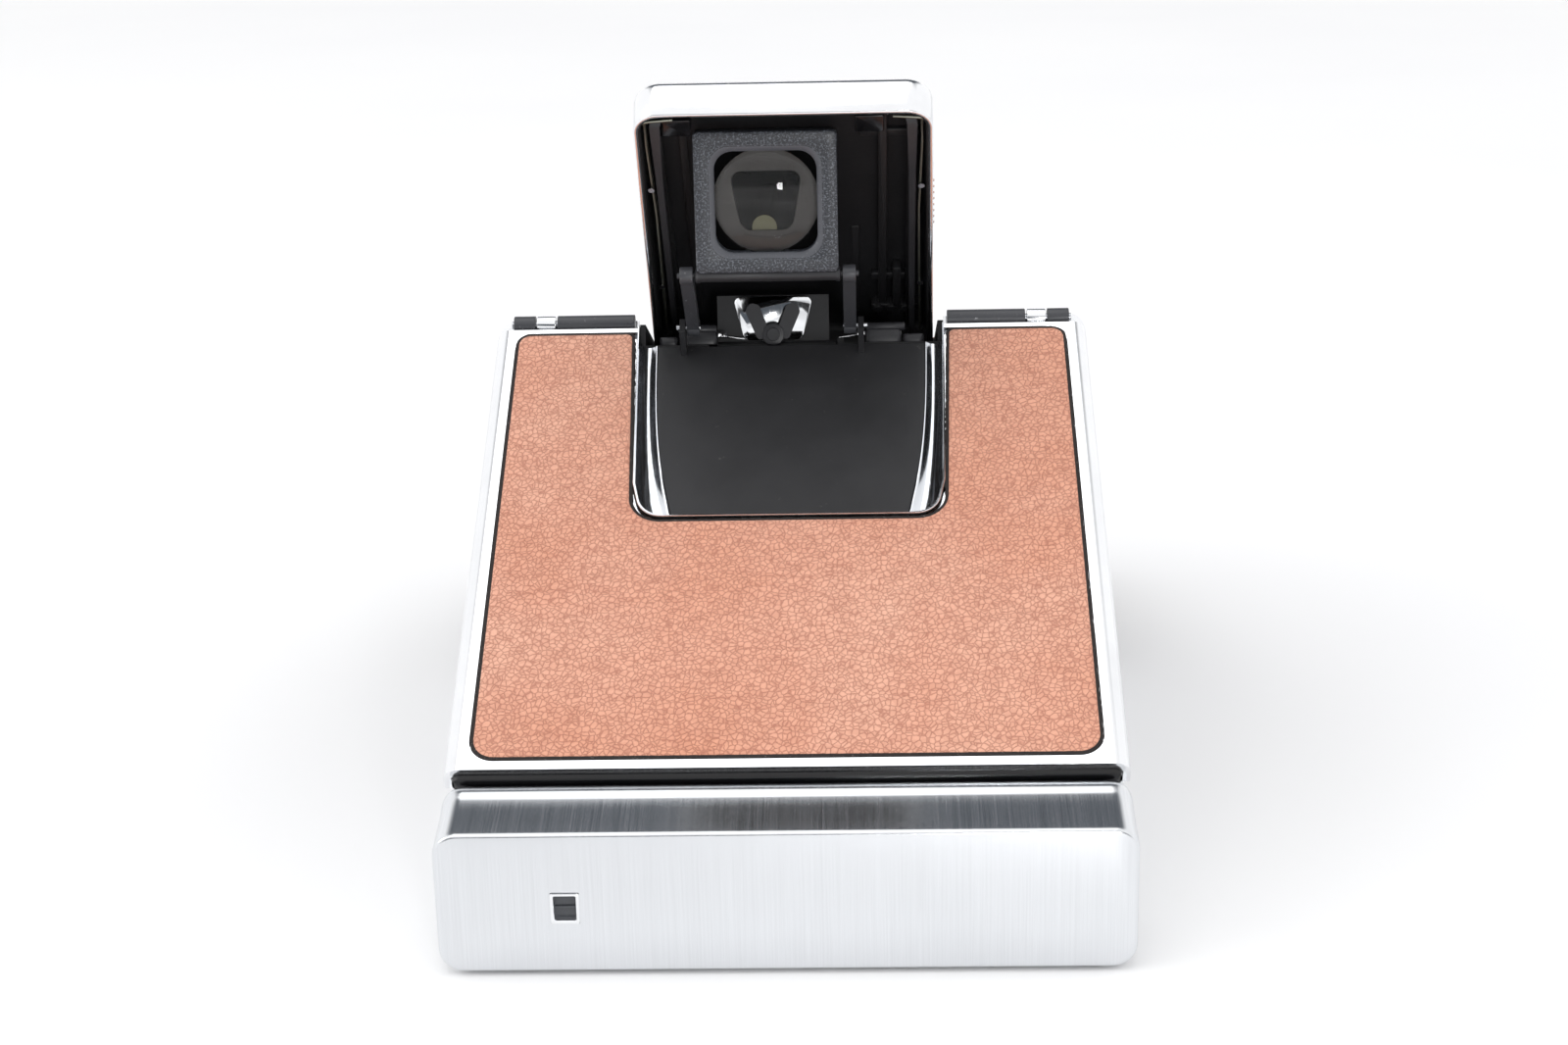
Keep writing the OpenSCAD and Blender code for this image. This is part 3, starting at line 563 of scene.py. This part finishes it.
def end_cap():
    """A pressed shell with a crowned rim: upright rounded outlines, one behind the other."""
    def outline(inset, top, low=0.7):
        side = HALF_W - inset
        return rounded([(-side, low + inset, 3.6), (side, low + inset, 3.6), (side, top - inset, 3.4),
                        (-side, top - inset, 3.4)], 8)
    sections = [(0.02, 0.62, 23.3), (0.08, 0.36, 23.2), (0.2, 0.16, 23.14), (0.42, 0.04, 23.14),
                (0.9, 0.0, 23.22), (3.5, 0.0, 23.72), (6.0, 0.0, 24.25), (8.6, 0.0, 24.8), (9.3, 0.0, 25.08),
                (9.9, 0.0, 25.4), (10.6, 0.0, 25.62), (11.4, 0.0, 25.66), (12.1, 0.0, 25.5),
                (12.7, 0.12, 25.3), (13.05, 0.4, 25.25), (13.2, 0.8, 25.2)]
    shell = Shape()
    rings = [[(point.x, y, point.y) for point in outline(inset, top)] for y, inset, top in sections]
    window = [(WINDOW_X + dx, 0.02, WINDOW_Z + dz)
              for dx, dz in ((-2.15, -2.5), (2.15, -2.5), (2.15, 2.5), (-2.15, 2.5))]
    shell.skin(rings)
    hole = shell.ring(window)
    rim = [vert for vert in shell.mesh.verts if abs(vert.co.y - 0.02) < 1e-6 and vert not in hole]
    edges = [shell.mesh.edges.new((hole[k], hole[(k + 1) % 4])) for k in range(4)]
    edges += [edge for edge in shell.mesh.edges if edge.verts[0] in rim and edge.verts[1] in rim]
    bmesh.ops.triangle_fill(shell.mesh, use_beauty=True, edges=list(set(edges)))
    back = [[(point.x, y, point.y) for point in outline(inset, top)]
            for y, inset, top in ((13.2, 0.8, 25.2), (13.1, 1.3, 25.2), (2.2, 1.3, 23.2), (1.0, 1.4, 22.6))]
    shell.skin(back)
    shell.piece("end_cap_shell", "brushed", IN_BASE, "base", ["rear_end_cap"], 40)
    bezel = Shape()
    loops = [box_loop(WINDOW_X - w, WINDOW_X + w, WINDOW_Z - h, WINDOW_Z + h, r, 3)
             for w, h, r in ((2.15, 2.5, 0.35), (2.15, 2.5, 0.35), (1.95, 2.3, 0.3), (1.7, 2.05, 0.22),
                             (1.55, 1.9, 0.2), (1.55, 1.9, 0.2))]
    bezel.skin([[(point.x, y, point.y) for point in loop]
                for loop, y in zip(loops, (1.2, -0.12, -0.2, -0.2, 0.05, 1.6))])
    bezel.piece("counter_bezel", "bright", IN_BASE, "base", ["counter_window"], 40)
    pane = Shape()
    sheet = box_loop(WINDOW_X - 1.6, WINDOW_X + 1.6, WINDOW_Z - 2, WINDOW_Z + 2, 0.2, 3)
    pane.skin([[(point.x, y, point.y) for point in sheet] for y in (0.9, 1.3)], True, True)
    pane.block(WINDOW_X - 1.5, WINDOW_X + 1.5, 0.55, 0.95, 10.9, 11.3, 0.08)
    pane.piece("counter_pane", "dark_glass", IN_BASE, "base", (), 40)


end_cap()


def cover_lip():
    """The glossy black edge of the liner that shows under the rear end of the cover."""
    lip = Shape()
    rings = []
    for x, grow in ((-50.7, -0.9), (-50.4, -0.35), (-49.6, 0.0), (49.6, 0.0), (50.4, -0.35), (50.7, -0.9)):
        rings.append([(x, y, z) for y, z in ((7.2, 1.0), (6.2, 1.9 + grow), (5.5, 1.7 + grow),
                                             (5.2 - grow, 1.0), (5.2 - grow, -0.6), (5.6, -1.1 - grow),
                                             (7.2, -1.1 - grow))])
    lip.skin(rings, True, True)
    lip.piece("cover_lip", "gloss_black", IN_REAR, "rear_cover", (), 30, 0.25)


cover_lip()


# ---------------------------------------------------------------- finder cap
CAP_END, CAP_HINGE = -67.8, 1.2
CAP_END_W, CAP_HINGE_W = 24.5, 25.7


def finder_cap():
    shell = Shape()
    outline = rounded([(-CAP_END_W, CAP_END, 4.4), (CAP_END_W, CAP_END, 4.4), (CAP_HINGE_W, CAP_HINGE, 1.0),
                       (-CAP_HINGE_W, CAP_HINGE, 1.0)], 8)
    shell.skin(stacked(outline, [(0.85, 0.4), (0.8, -1.5), (0.62, -1.62), (0.16, -1.6), (0.0, -1.4),
                                 (0.0, 4.3), (0.12, 5.0), (0.45, 5.6), (0.95, 5.98), (1.7, 6.16),
                                 (3.0, 6.2)]), False, True)
    shell.piece("finder_shell", "bright", IN_CAP, "finder_cap", ["finder_cap"], 50)
    lining = Shape()
    lining.skin(stacked(outline, [(0.8, -1.3), (0.98, -1.36), (1.15, -1.2), (1.2, 4.0), (1.6, 4.9),
                                  (2.6, 5.2)]), False, True)
    lining.piece("finder_lining", "black_plastic", IN_CAP, "finder_cap", (), 50)
    ribs = Shape()
    for x, y0, y1, deep in ((-21.3, -62, -4, 1.9), (-17.2, -64, -5, 0.4), (11.6, -30, -5, 0.4),
                            (16.4, -63, -5, 1.6), (21.3, -62, -4, 1.9), (19.0, -20, -6, 2.2)):
        ribs.block(x - 0.75, x + 0.75, y0, y1, 5.3 - deep, 5.4, 0.18)
    for y, x0, x1, deep in ((-16.5, 14.4, 22, 1.2), (-8.2, 14.4, 23, 2.0), (-55.5, 12.5, 22.5, 0.9),
                            (-8.2, -23, -20.8, 2.0), (-57.5, -22.5, -16.4, 0.9), (-64.5, -20, 20, 0.8)):
        ribs.block(x0, x1, y - 0.8, y + 0.8, 5.3 - deep, 5.4, 0.18)
    for x in (15.6, 18.1, 20.6):
        ribs.turned([(0.8, 2.8), (0.95, 3.1), (0.95, 5.3)], x, -8.2, 20)
    ribs.piece("finder_ribs", "black_plastic", IN_CAP, "finder_cap", (), 45)
    # Gloss black blocks, darker than the lining, fill the pockets between the ribs by the cap's end: painted shade
    # for those deep wells.
    wells = Shape()
    for x0, x1, y0, y1 in ((-20.5, -15.4, -62.8, -58.8), (11.8, 16.6, -63.2, -59.2),
                           (-23.6, -22.2, -63, -60.6), (22.2, 23.6, -63, -60.6)):
        wells.block(x0, x1, y0, y1, 1.4, 5.3, 0.25)
    wells.piece("finder_painted_wells", "gloss_black", IN_CAP, "finder_cap", (), 45)
    links = Shape()
    corners = ((-0.18, -0.9), (0.18, -0.9), (0.18, 0.9), (-0.18, 0.9))
    for side in (-1, 1):
        path = [(22.9, -65.2, -0.4), (22.7, -64.4, 0.2), (22.9, -58, 1.0), (22.6, -40, 1.3), (22.9, -22, 1.1),
                (23.2, -6, 0.6)]
        links.skin([[(side * (x + dx), y, z + dz) for dx, dz in corners] for x, y, z in path], True, True)
        links.wire([(side * 23.3, -65.0, -0.8), (side * 21.8, -65.3, -0.8), (side * 18.0, -65.3, -0.5)], 0.28)
    links.piece("finder_links", "worn_steel", IN_CAP, "finder_cap", (), 40, 0.08)
    flaps = Shape()
    for side in (-1, 1):
        rings = []
        for y, x0, x1, z in ((-63.5, 20.0, 21.9, 0.7), (-62.6, 20.3, 22.1, 0.1), (-50, 20.7, 22.0, 0.2),
                             (-25, 20.9, 22.1, 0.4), (-3, 21.3, 22.3, 0.6)):
            rings.append([(side * x0, y, z), (side * x1, y, z), (side * x1, y, z + 0.5),
                          (side * x0, y, z + 0.5)])
        flaps.skin(rings, True, True)
    flaps.piece("finder_flaps", "satin_black", IN_CAP, "finder_cap", (), 40, 0.12)
    rivets = Shape()
    for x, y in ((-22.9, -47), (22.9, -47), (-23.1, -20), (23.1, -20)):
        rivets.turned([(0.55, -0.2), (0.5, 0.02), (0.2, 0.1)], x, y, 16)
    for x in (-17, 17):
        rivets.turned([(0.6, 4.2), (0.55, 4.0), (0.2, 3.9)], x, -61, 16)
    rivets.piece("finder_rivets", "steel", IN_CAP, "finder_cap", (), 40)
    grips = Shape()
    for side in (-1, 1):
        for index in range(8):
            y = -47.6 + 1.6 * index
            edge = CAP_END_W + (CAP_HINGE_W - CAP_END_W) * (y - CAP_END) / (CAP_HINGE - CAP_END)
            grips.block(side * edge - 0.28, side * edge + 0.28, y - 0.4, y + 0.4, 0.5, 4.4, 0.16)
    grips.piece("finder_grips", "bright", IN_CAP, "finder_cap", ["cap_grips"], 40)


finder_cap()


# ---------------------------------------------------------------- eyepiece; local -y is up, -z faces the user
LENS_MID = Vector((0, -12.6))
LENS_R = 8.9


def eyepiece():
    frame_piece = Shape()
    outer = box_loop(-12, 12, -24.6, -0.6, 0.9, 8)
    window = box_loop(-9.4, 9.4, -22.0, -3.2, 3.4, 8)
    bevel = box_loop(-8.75, 8.75, -21.35, -3.85, 3.3, 8)
    rings = [at_height(shrink(outer, 0.15), 1.5), at_height(outer, 1.35), at_height(outer, -1.25),
             at_height(shrink(outer, 0.08), -1.42), at_height(shrink(outer, 0.25), -1.5),
             at_height(shrink(window, -0.12), -1.5), at_height(window, -1.42), at_height(bevel, -0.95),
             at_height(shrink(bevel, 0.12), -0.8), at_height(shrink(bevel, 0.12), 1.5)]
    frame_piece.skin(rings, wrap=True)
    frame_piece.piece("eyepiece_window", "eye_grey", IN_EYE, "eyepiece", ["eyepiece_frame"], 40)
    bar = Shape()
    bar.bar([(0.9, -12.4), (1.25, -12.2), (1.25, -11.6), (1.1, -11.4), (1.1, 11.4), (1.25, 11.6),
             (1.25, 12.2), (0.9, 12.4)], 0.0, -0.15)
    bar.block(-11.4, 11.4, -1.6, -0.2, -0.9, 1.0, 0.2)
    bar.piece("eyepiece_bar", "satin_black", IN_EYE, "eyepiece", (), 40)
    seat = Shape()
    disc = circle_loop(0, LENS_MID.y, LENS_R, 64)
    shield = shield_loop(64)
    seat.skin([at_height(disc, 0.9), at_height(shield, 0.9),
               at_height([LENS_MID.lerp(p, 0.98) for p in shield], 1.1)])
    seat.piece("lens_seat", "seat_grey", IN_EYE, "eyepiece", (), 40)
    well = Shape()
    well.skin([at_height(shrink(bevel, 0.1), -0.35), at_height(shrink(bevel, 0.1), 1.35)], False, True)
    well.piece("eyepiece_well", "deep_black", IN_EYE, "eyepiece", (), 40)
    lip = Shape()
    lip.skin([at_height(shrink(window, -0.35), -1.51), at_height(shrink(window, 0.02), -1.46),
              at_height(shrink(bevel, 0.03), -0.98), at_height(shrink(bevel, 0.16), -0.78)])
    lip.piece("eyepiece_lip", "rubbed_edge", IN_EYE, "eyepiece", (), 60)
    # The olive disc behind the lens is painted light: a lighter patch that stands for the glint seen through the
    # finder.
    glint = Shape()
    disc = [at_height(circle_loop(-0.4, -7.9, radius, 32), z) for radius, z in ((2.1, 1.28), (2.0, 1.24))]
    glint.skin(disc, False, True)
    glint.piece("finder_painted_glint", "olive_glow", IN_EYE, "eyepiece", (), 40)
    lens = Shape()
    dome = [(8.6, 0.75), (8.95, 0.6), (8.95, 0.1), (LENS_R, -0.05)]
    steps, spread, flatness = 12, math.radians(38), 0.62
    sphere = LENS_R / math.sin(spread)
    for k in range(1, steps):
        angle = spread * (1 - k / steps)
        dome.append((sphere * math.sin(angle),
                     -0.05 - sphere * flatness * (math.cos(angle) - math.cos(spread))))
    dome.append((0.05, dome[-1][1] - 0.002))
    lens.turned(dome, 0, LENS_MID.y, 64)
    lens.piece("eyepiece_glass", "glass_lens", IN_EYE, "eyepiece", ["eyepiece_lens"], 50)


def shield_loop(count):
    """The rounded, tapering opening seen behind the lens."""
    corners = rounded([(-6.2, -17.6, 1.6), (6.2, -17.6, 1.6), (4.4, -7.4, 2.2), (-4.4, -7.4, 2.2)], 10)
    loop = []
    for k in range(count):
        angle = 2 * math.pi * k / count
        way = Vector((math.cos(angle), math.sin(angle)))
        reach = 0.0
        for start, end in zip(corners[-1:] + corners[:-1], corners):
            base, edge = start - LENS_MID, end - start
            cross = way.cross(edge)
            if cross > 0 and -1e-6 <= base.cross(way) / cross <= 1 + 1e-6:
                reach = (base + edge * (base.cross(way) / cross)).length
        loop.append(LENS_MID + way * reach)
    return loop


eyepiece()


# ---------------------------------------------------------------- finder mechanism on the front cover
def mechanism():
    blocks = Shape()
    for x0, x1, y0, y1, z1 in ((-23.6, -20.2, 3.4, 8.2, 0.4), (-20.0, -13.2, 3.2, 6.4, 1.5),
                               (13.2, 19.6, 3.2, 6.4, 1.5), (19.8, 23.6, 3.4, 8.2, 0.4)):
        blocks.block(x0, x1, y0, y1, -1.2, z1, 0.35, 0.8)
    for side in (-1, 1):
        blocks.bar([(0.6, side * 20.2), (0.75, side * 20.0), (0.75, side * 13.6), (0.6, side * 13.4)], 3.6,
                   1.7)
    blocks.piece("finder_blocks", "satin_black", IN_FRONT, "front_cover", (), 40)
    springs = Shape()
    per_turn = 8
    for side in (-1, 1):
        coil = []
        for k in range(4 * per_turn + 1):
            angle = 2 * math.pi * k / per_turn
            coil.append((side * (16.2 + 0.55 * k / per_turn), 7.6 + 0.8 * math.cos(angle),
                         0.5 + 0.8 * math.sin(angle)))
        springs.wire(coil, 0.2, 8)
        arm = [(16.2, 7.6, 1.3), (13.5, 6.6, 1.1), (10.0, 5.2, 0.3), (8.4, 4.6, 0.0)]
        springs.wire([(side * x, y, z) for x, y, z in arm], 0.2, 8)
        springs.turned([(0.9, 0.2), (0.9, 0.9), (0.6, 1.15), (0.2, 1.2)], side * 12.4, 3.6, 20)
    springs.piece("finder_wires", "bright", IN_FRONT, "front_cover", ["finder_springs"], 50)


def mirror_details():
    """The silvered mirror, narrower at its foot, and the black pivot in front of it."""
    plate = Shape()
    outline = rounded([(-7.2, -8.9, 1.2), (7.2, -8.9, 1.2), (5.2, -0.9, 1.6), (-5.2, -0.9, 1.6)])
    plate.skin(stacked(outline, [(0.12, 0.1), (0, 0.0), (0, -0.3), (0.12, -0.4)]), True, True)
    plate.piece("mirror_plate", "mirror", IN_MIRROR, "mirror_carrier", ["finder_mirror"], 40)
    nose = Shape()
    for side in (-1, 1):
        nose.skin(stacked(rounded([(side * 0.6, -1.6, 0.4), (side * 2.6, -1.4, 0.5), (side * 4.6, -6.0, 0.8),
                                   (side * 4.2, -7.6, 0.9), (side * 2.6, -7.0, 0.8)][::side], 4),
                          [(0.2, -0.45), (0, -0.55), (0, -1.2), (0.25, -1.35)]), True, True)
    nose.turned([(2.1, -0.45), (2.1, -1.25), (1.9, -1.45), (1.2, -1.5), (1.1, -1.3), (0.05, -1.3)], 0, -2.0,
                32)
    nose.piece("mirror_pivot_block", "satin_black", IN_MIRROR, "mirror_carrier", (), 40)


mechanism()
mirror_details()


# ---------------------------------------------------------------- bellows
def bellows():
    """Pleated side walls, fanned from the rear hinge."""
    hinge = Vector((19.5, 19.4))
    front = [Vector(p) for p in ((95.5, 70.4), (120, 59.6), (147.5, 46.6), (141.5, 34.5), (135.6, 24.2),
                                 (119.4, 20.9), (118.6, 19.3))]
    lengths = [0.0]
    for a, b in zip(front, front[1:]):
        lengths.append(lengths[-1] + (b - a).length)

    def edge(share):
        goal = share * lengths[-1]
        for index in range(len(front) - 1):
            if goal <= lengths[index + 1] + 1e-9:
                span = lengths[index + 1] - lengths[index]
                return front[index].lerp(front[index + 1], (goal - lengths[index]) / span)
        return front[-1]

    pleats, along = 11, 10
    walls = Shape()
    for side in (-1, 1):
        rings = []
        for row in range(pleats * 4 + 1):
            share = row / (pleats * 4)
            tip = edge(share)
            fold = abs((share * pleats) % 1.0 - 0.5) * 2
            crease = fold * fold * (3 - 2 * fold)
            points = []
            for step in range(along + 1):
                u = step / along
                place = hinge.lerp(tip, u)
                swell = 2.7 * crease * min(1.0, 0.15 + 1.1 * u) * (1 - 0.25 * u)
                points.append((side * (40.4 + swell), place.x, place.y))
            rings.append(points)
        walls.skin(rings, open_ring=True)
    obj = walls.piece("bellows_pleats", "bellows_black", IN_BASE, "base", ["bellows"], 80)
    skin = obj.modifiers.new("thickness", "SOLIDIFY")
    skin.thickness, skin.offset = 0.35 * MM, 0.0
    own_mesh(obj)


bellows()


# ---------------------------------------------------------------- shutter housing
LENS_Y = 17.5
BUTTON_AT = (34, 9)
CELL_AT = (-34, 10)
RIDGES, RIDGE_POINTS = 54, 4


def knurled(radius, z, depth=0.32):
    """A ring of points with shallow grooves between its ridges."""
    points = []
    count = RIDGES * RIDGE_POINTS
    for k in range(count):
        angle = 2 * math.pi * k / count
        reach = radius - (depth if k % RIDGE_POINTS in (0, 1) else 0.0)
        points.append((reach * math.cos(angle), LENS_Y + reach * math.sin(angle), z))
    return points


def housing_details():
    ring = Shape()
    rings = [knurled(14.7, -12.85), knurled(15.0, -13.05), knurled(15.0, -14.6), knurled(14.7, -14.85)]
    for radius, z in ((14.0, -15.0), (12.9, -15.0), (12.6, -14.85), (9.6, -14.75), (9.0, -14.95),
                      (8.4, -14.8), (7.5, -14.2), (7.05, -13.4), (7.05, -8.5), (10.7, -8.5), (10.7, -12.85)):
        rings.append([(p.x, p.y, z) for p in circle_loop(0, LENS_Y, radius, RIDGES * RIDGE_POINTS)])
    ring.skin(rings, wrap=True)
    ring.piece("focus_ring", "satin_black", IN_HOUSING, "lens_ring", ["lens_ring"], 30)
    dome = Shape()
    dome.turned([(7.0, -12.0), (7.0, -13.6), (6.4, -14.05), (5.2, -14.45), (3.6, -14.78), (1.8, -14.96),
                 (0.05, -15.0)], 0, LENS_Y, 64)
    dome.piece("lens_dome", "glass_lens", IN_HOUSING, "lens_ring", ["front_lens"], 50)
    trims = Shape()
    for (x, y), inner, outer, face in (((0, LENS_Y), 14.1, 15.4, -12.72), (CELL_AT, 5.05, 5.9, -13.1),
                                       (BUTTON_AT, 4.7, 5.6, -12.9)):
        profile = [(outer, -12.3), (outer, face + 0.15), (outer - 0.15, face), (inner + 0.15, face),
                   (inner, face + 0.15), (inner, -12.3)]
        trims.skin([at_height(circle_loop(x, y, radius, 72), z) for radius, z in profile], wrap=True)
    trims.piece("housing_trims", "bright", IN_HOUSING, "shutter_housing", (), 40)
    cell = Shape()
    cell.turned([(4.95, -12.2), (4.95, -12.9), (4.2, -13.35), (2.6, -13.7), (0.05, -13.85)], *CELL_AT, 48)
    cell.piece("photocell_dome", "dark_glass", IN_HOUSING, "shutter_housing", ["photocell_lens"], 50)
    button = Shape()
    button.turned([(5.1, -9.7), (5.1, -10.9), (4.2, -11.1), (4.15, -14.0), (3.95, -14.4), (3.5, -14.6),
                   (2.2, -14.42), (0.05, -14.34)], *BUTTON_AT, 56)
    button.piece("button_cap", "button_red", IN_HOUSING, "shutter_button", ["shutter_button"], 40)
    bars = Shape()
    for index in range(10):
        bars.block(-19.4 + index * 4.1, -17.5 + index * 4.1, 35.05, 35.5, -8.4, -5.4, 0.12)
    bars.piece("flash_contacts", "brass", IN_HOUSING, "shutter_housing", (), 40)


housing_details()


# ---------------------------------------------------------------- studio
def studio():
    floor_mesh = bpy.data.meshes.new("floor")
    half = 9.0
    level = cad_box[0][2]
    corners = [(-half, -half, level), (half, -half, level), (half, half, level), (-half, half, level)]
    floor_mesh.from_pydata(corners, [], [(0, 1, 2, 3)])
    floor = bpy.data.objects.new("floor", floor_mesh)
    bpy.context.scene.collection.objects.link(floor)
    paint = Paint("pale_floor").set(Specular_IOR_Level=0.2, Roughness=0.6)
    paint.join(paint.ramp(paint.noise(3, 3, 0.5), [(0.3, rgb(246, 246, 247)), (0.7, rgb(250, 250, 250))]),
               "Base Color")
    floor.data.materials.append(paint.material)


def softbox(name, place, aim, size, power):
    light = bpy.data.lights.new(name, "AREA")
    light.shape = "RECTANGLE"
    light.size, light.size_y = size
    light.energy = power
    obj = bpy.data.objects.new(name, light)
    obj.location = place
    obj.rotation_euler = (Vector(aim) - Vector(place)).to_track_quat("-Z", "Y").to_euler()
    obj.visible_transmission = False
    bpy.context.scene.collection.objects.link(obj)


def sky():
    """A white room for the metal to reflect, dark in part of the ceiling ahead and low behind the user."""
    world = bpy.data.worlds.new("studio")
    bpy.context.scene.world = world
    world.use_nodes = True
    tree = world.node_tree
    coords = tree.nodes.new("ShaderNodeTexCoord")
    split = tree.nodes.new("ShaderNodeSeparateXYZ")
    tree.links.new(coords.outputs["Generated"], split.inputs[0])

    def band(source, stops):
        ramp = tree.nodes.new("ShaderNodeValToRGB")
        elements = ramp.color_ramp.elements
        while len(elements) < len(stops):
            elements.new(0.5)
        for element, (position, value) in zip(elements, stops):
            element.position = position
            element.color = (value, value, value, 1)
        tree.links.new(source, ramp.inputs["Fac"])
        return ramp.outputs["Color"]

    def joined(first, second, mode="MULTIPLY"):
        node = tree.nodes.new("ShaderNodeMix")
        node.data_type, node.blend_type = "RGBA", mode
        node.inputs[0].default_value = 1.0
        tree.links.new(first, node.inputs[6])
        tree.links.new(second, node.inputs[7])
        return node.outputs[2]

    aside = tree.nodes.new("ShaderNodeMath")
    aside.operation = "ABSOLUTE"
    tree.links.new(split.outputs["X"], aside.inputs[0])
    behind = tree.nodes.new("ShaderNodeMath")
    behind.operation = "MULTIPLY"
    behind.inputs[1].default_value = -1.0
    tree.links.new(split.outputs["Y"], behind.inputs[0])
    up = split.outputs["Z"]
    ahead = joined(band(split.outputs["Y"], [(0.12, 0.0), (0.34, 1.0)]),
                   band(aside.outputs[0], [(0.38, 1.0), (0.56, 0.0)]))
    ceiling = joined(band(up, [(0.44, 0.0), (0.55, 1.0), (0.84, 1.0), (0.92, 0.0)]), ahead)
    user = joined(band(up, [(0.02, 0.0), (0.08, 1.0), (0.40, 1.0), (0.52, 0.0)]),
                  band(behind.outputs[0], [(0.72, 0.0), (0.86, 1.0)]))
    tone = tree.nodes.new("ShaderNodeMix")
    tone.data_type = "RGBA"
    tone.inputs[6].default_value = (1.0, 1.0, 1.005, 1)
    tone.inputs[7].default_value = (0.085, 0.095, 0.11, 1)
    tree.links.new(joined(ceiling, user, "ADD"), tone.inputs[0])
    background = tree.nodes["Background"]
    tree.links.new(tone.outputs[2], background.inputs["Color"])
    background.inputs["Strength"].default_value = 1.14


def camera():
    """The view from the user's side, about 18 degrees down, from 0.33 m behind the end cap."""
    data = bpy.data.cameras.new("camera")
    data.sensor_width = 36.0
    data.lens = 56.34
    data.clip_start = 0.01
    obj = bpy.data.objects.new("camera", data)
    obj.location = (0.01148, -0.4146, 0.17905)
    pitch, roll, yaw = math.radians(18.364), math.radians(-1.345), math.radians(1.829)
    down = Matrix.Rotation(math.pi / 2 - pitch, 4, "X")
    turned = Matrix.Rotation(yaw, 4, "Z") @ down @ Matrix.Rotation(roll, 4, "Z")
    obj.rotation_euler = turned.to_euler()
    bpy.context.scene.collection.objects.link(obj)
    bpy.context.scene.camera = obj


camera()
studio()
sky()
softbox("top_light", (-0.15, 0.05, 1.3), (0, 0, 0), (1.1, 0.9), 2.6)
softbox("left_light", (-1.1, -0.5, 0.8), (0, 0, 0.05), (0.7, 0.7), 2.4)
softbox("near_light", (0.11, -0.62, 0.14), (0, 0, 0.1), (0.055, 0.065), 0.6)
bpy.context.scene.view_settings.view_transform = "Standard"
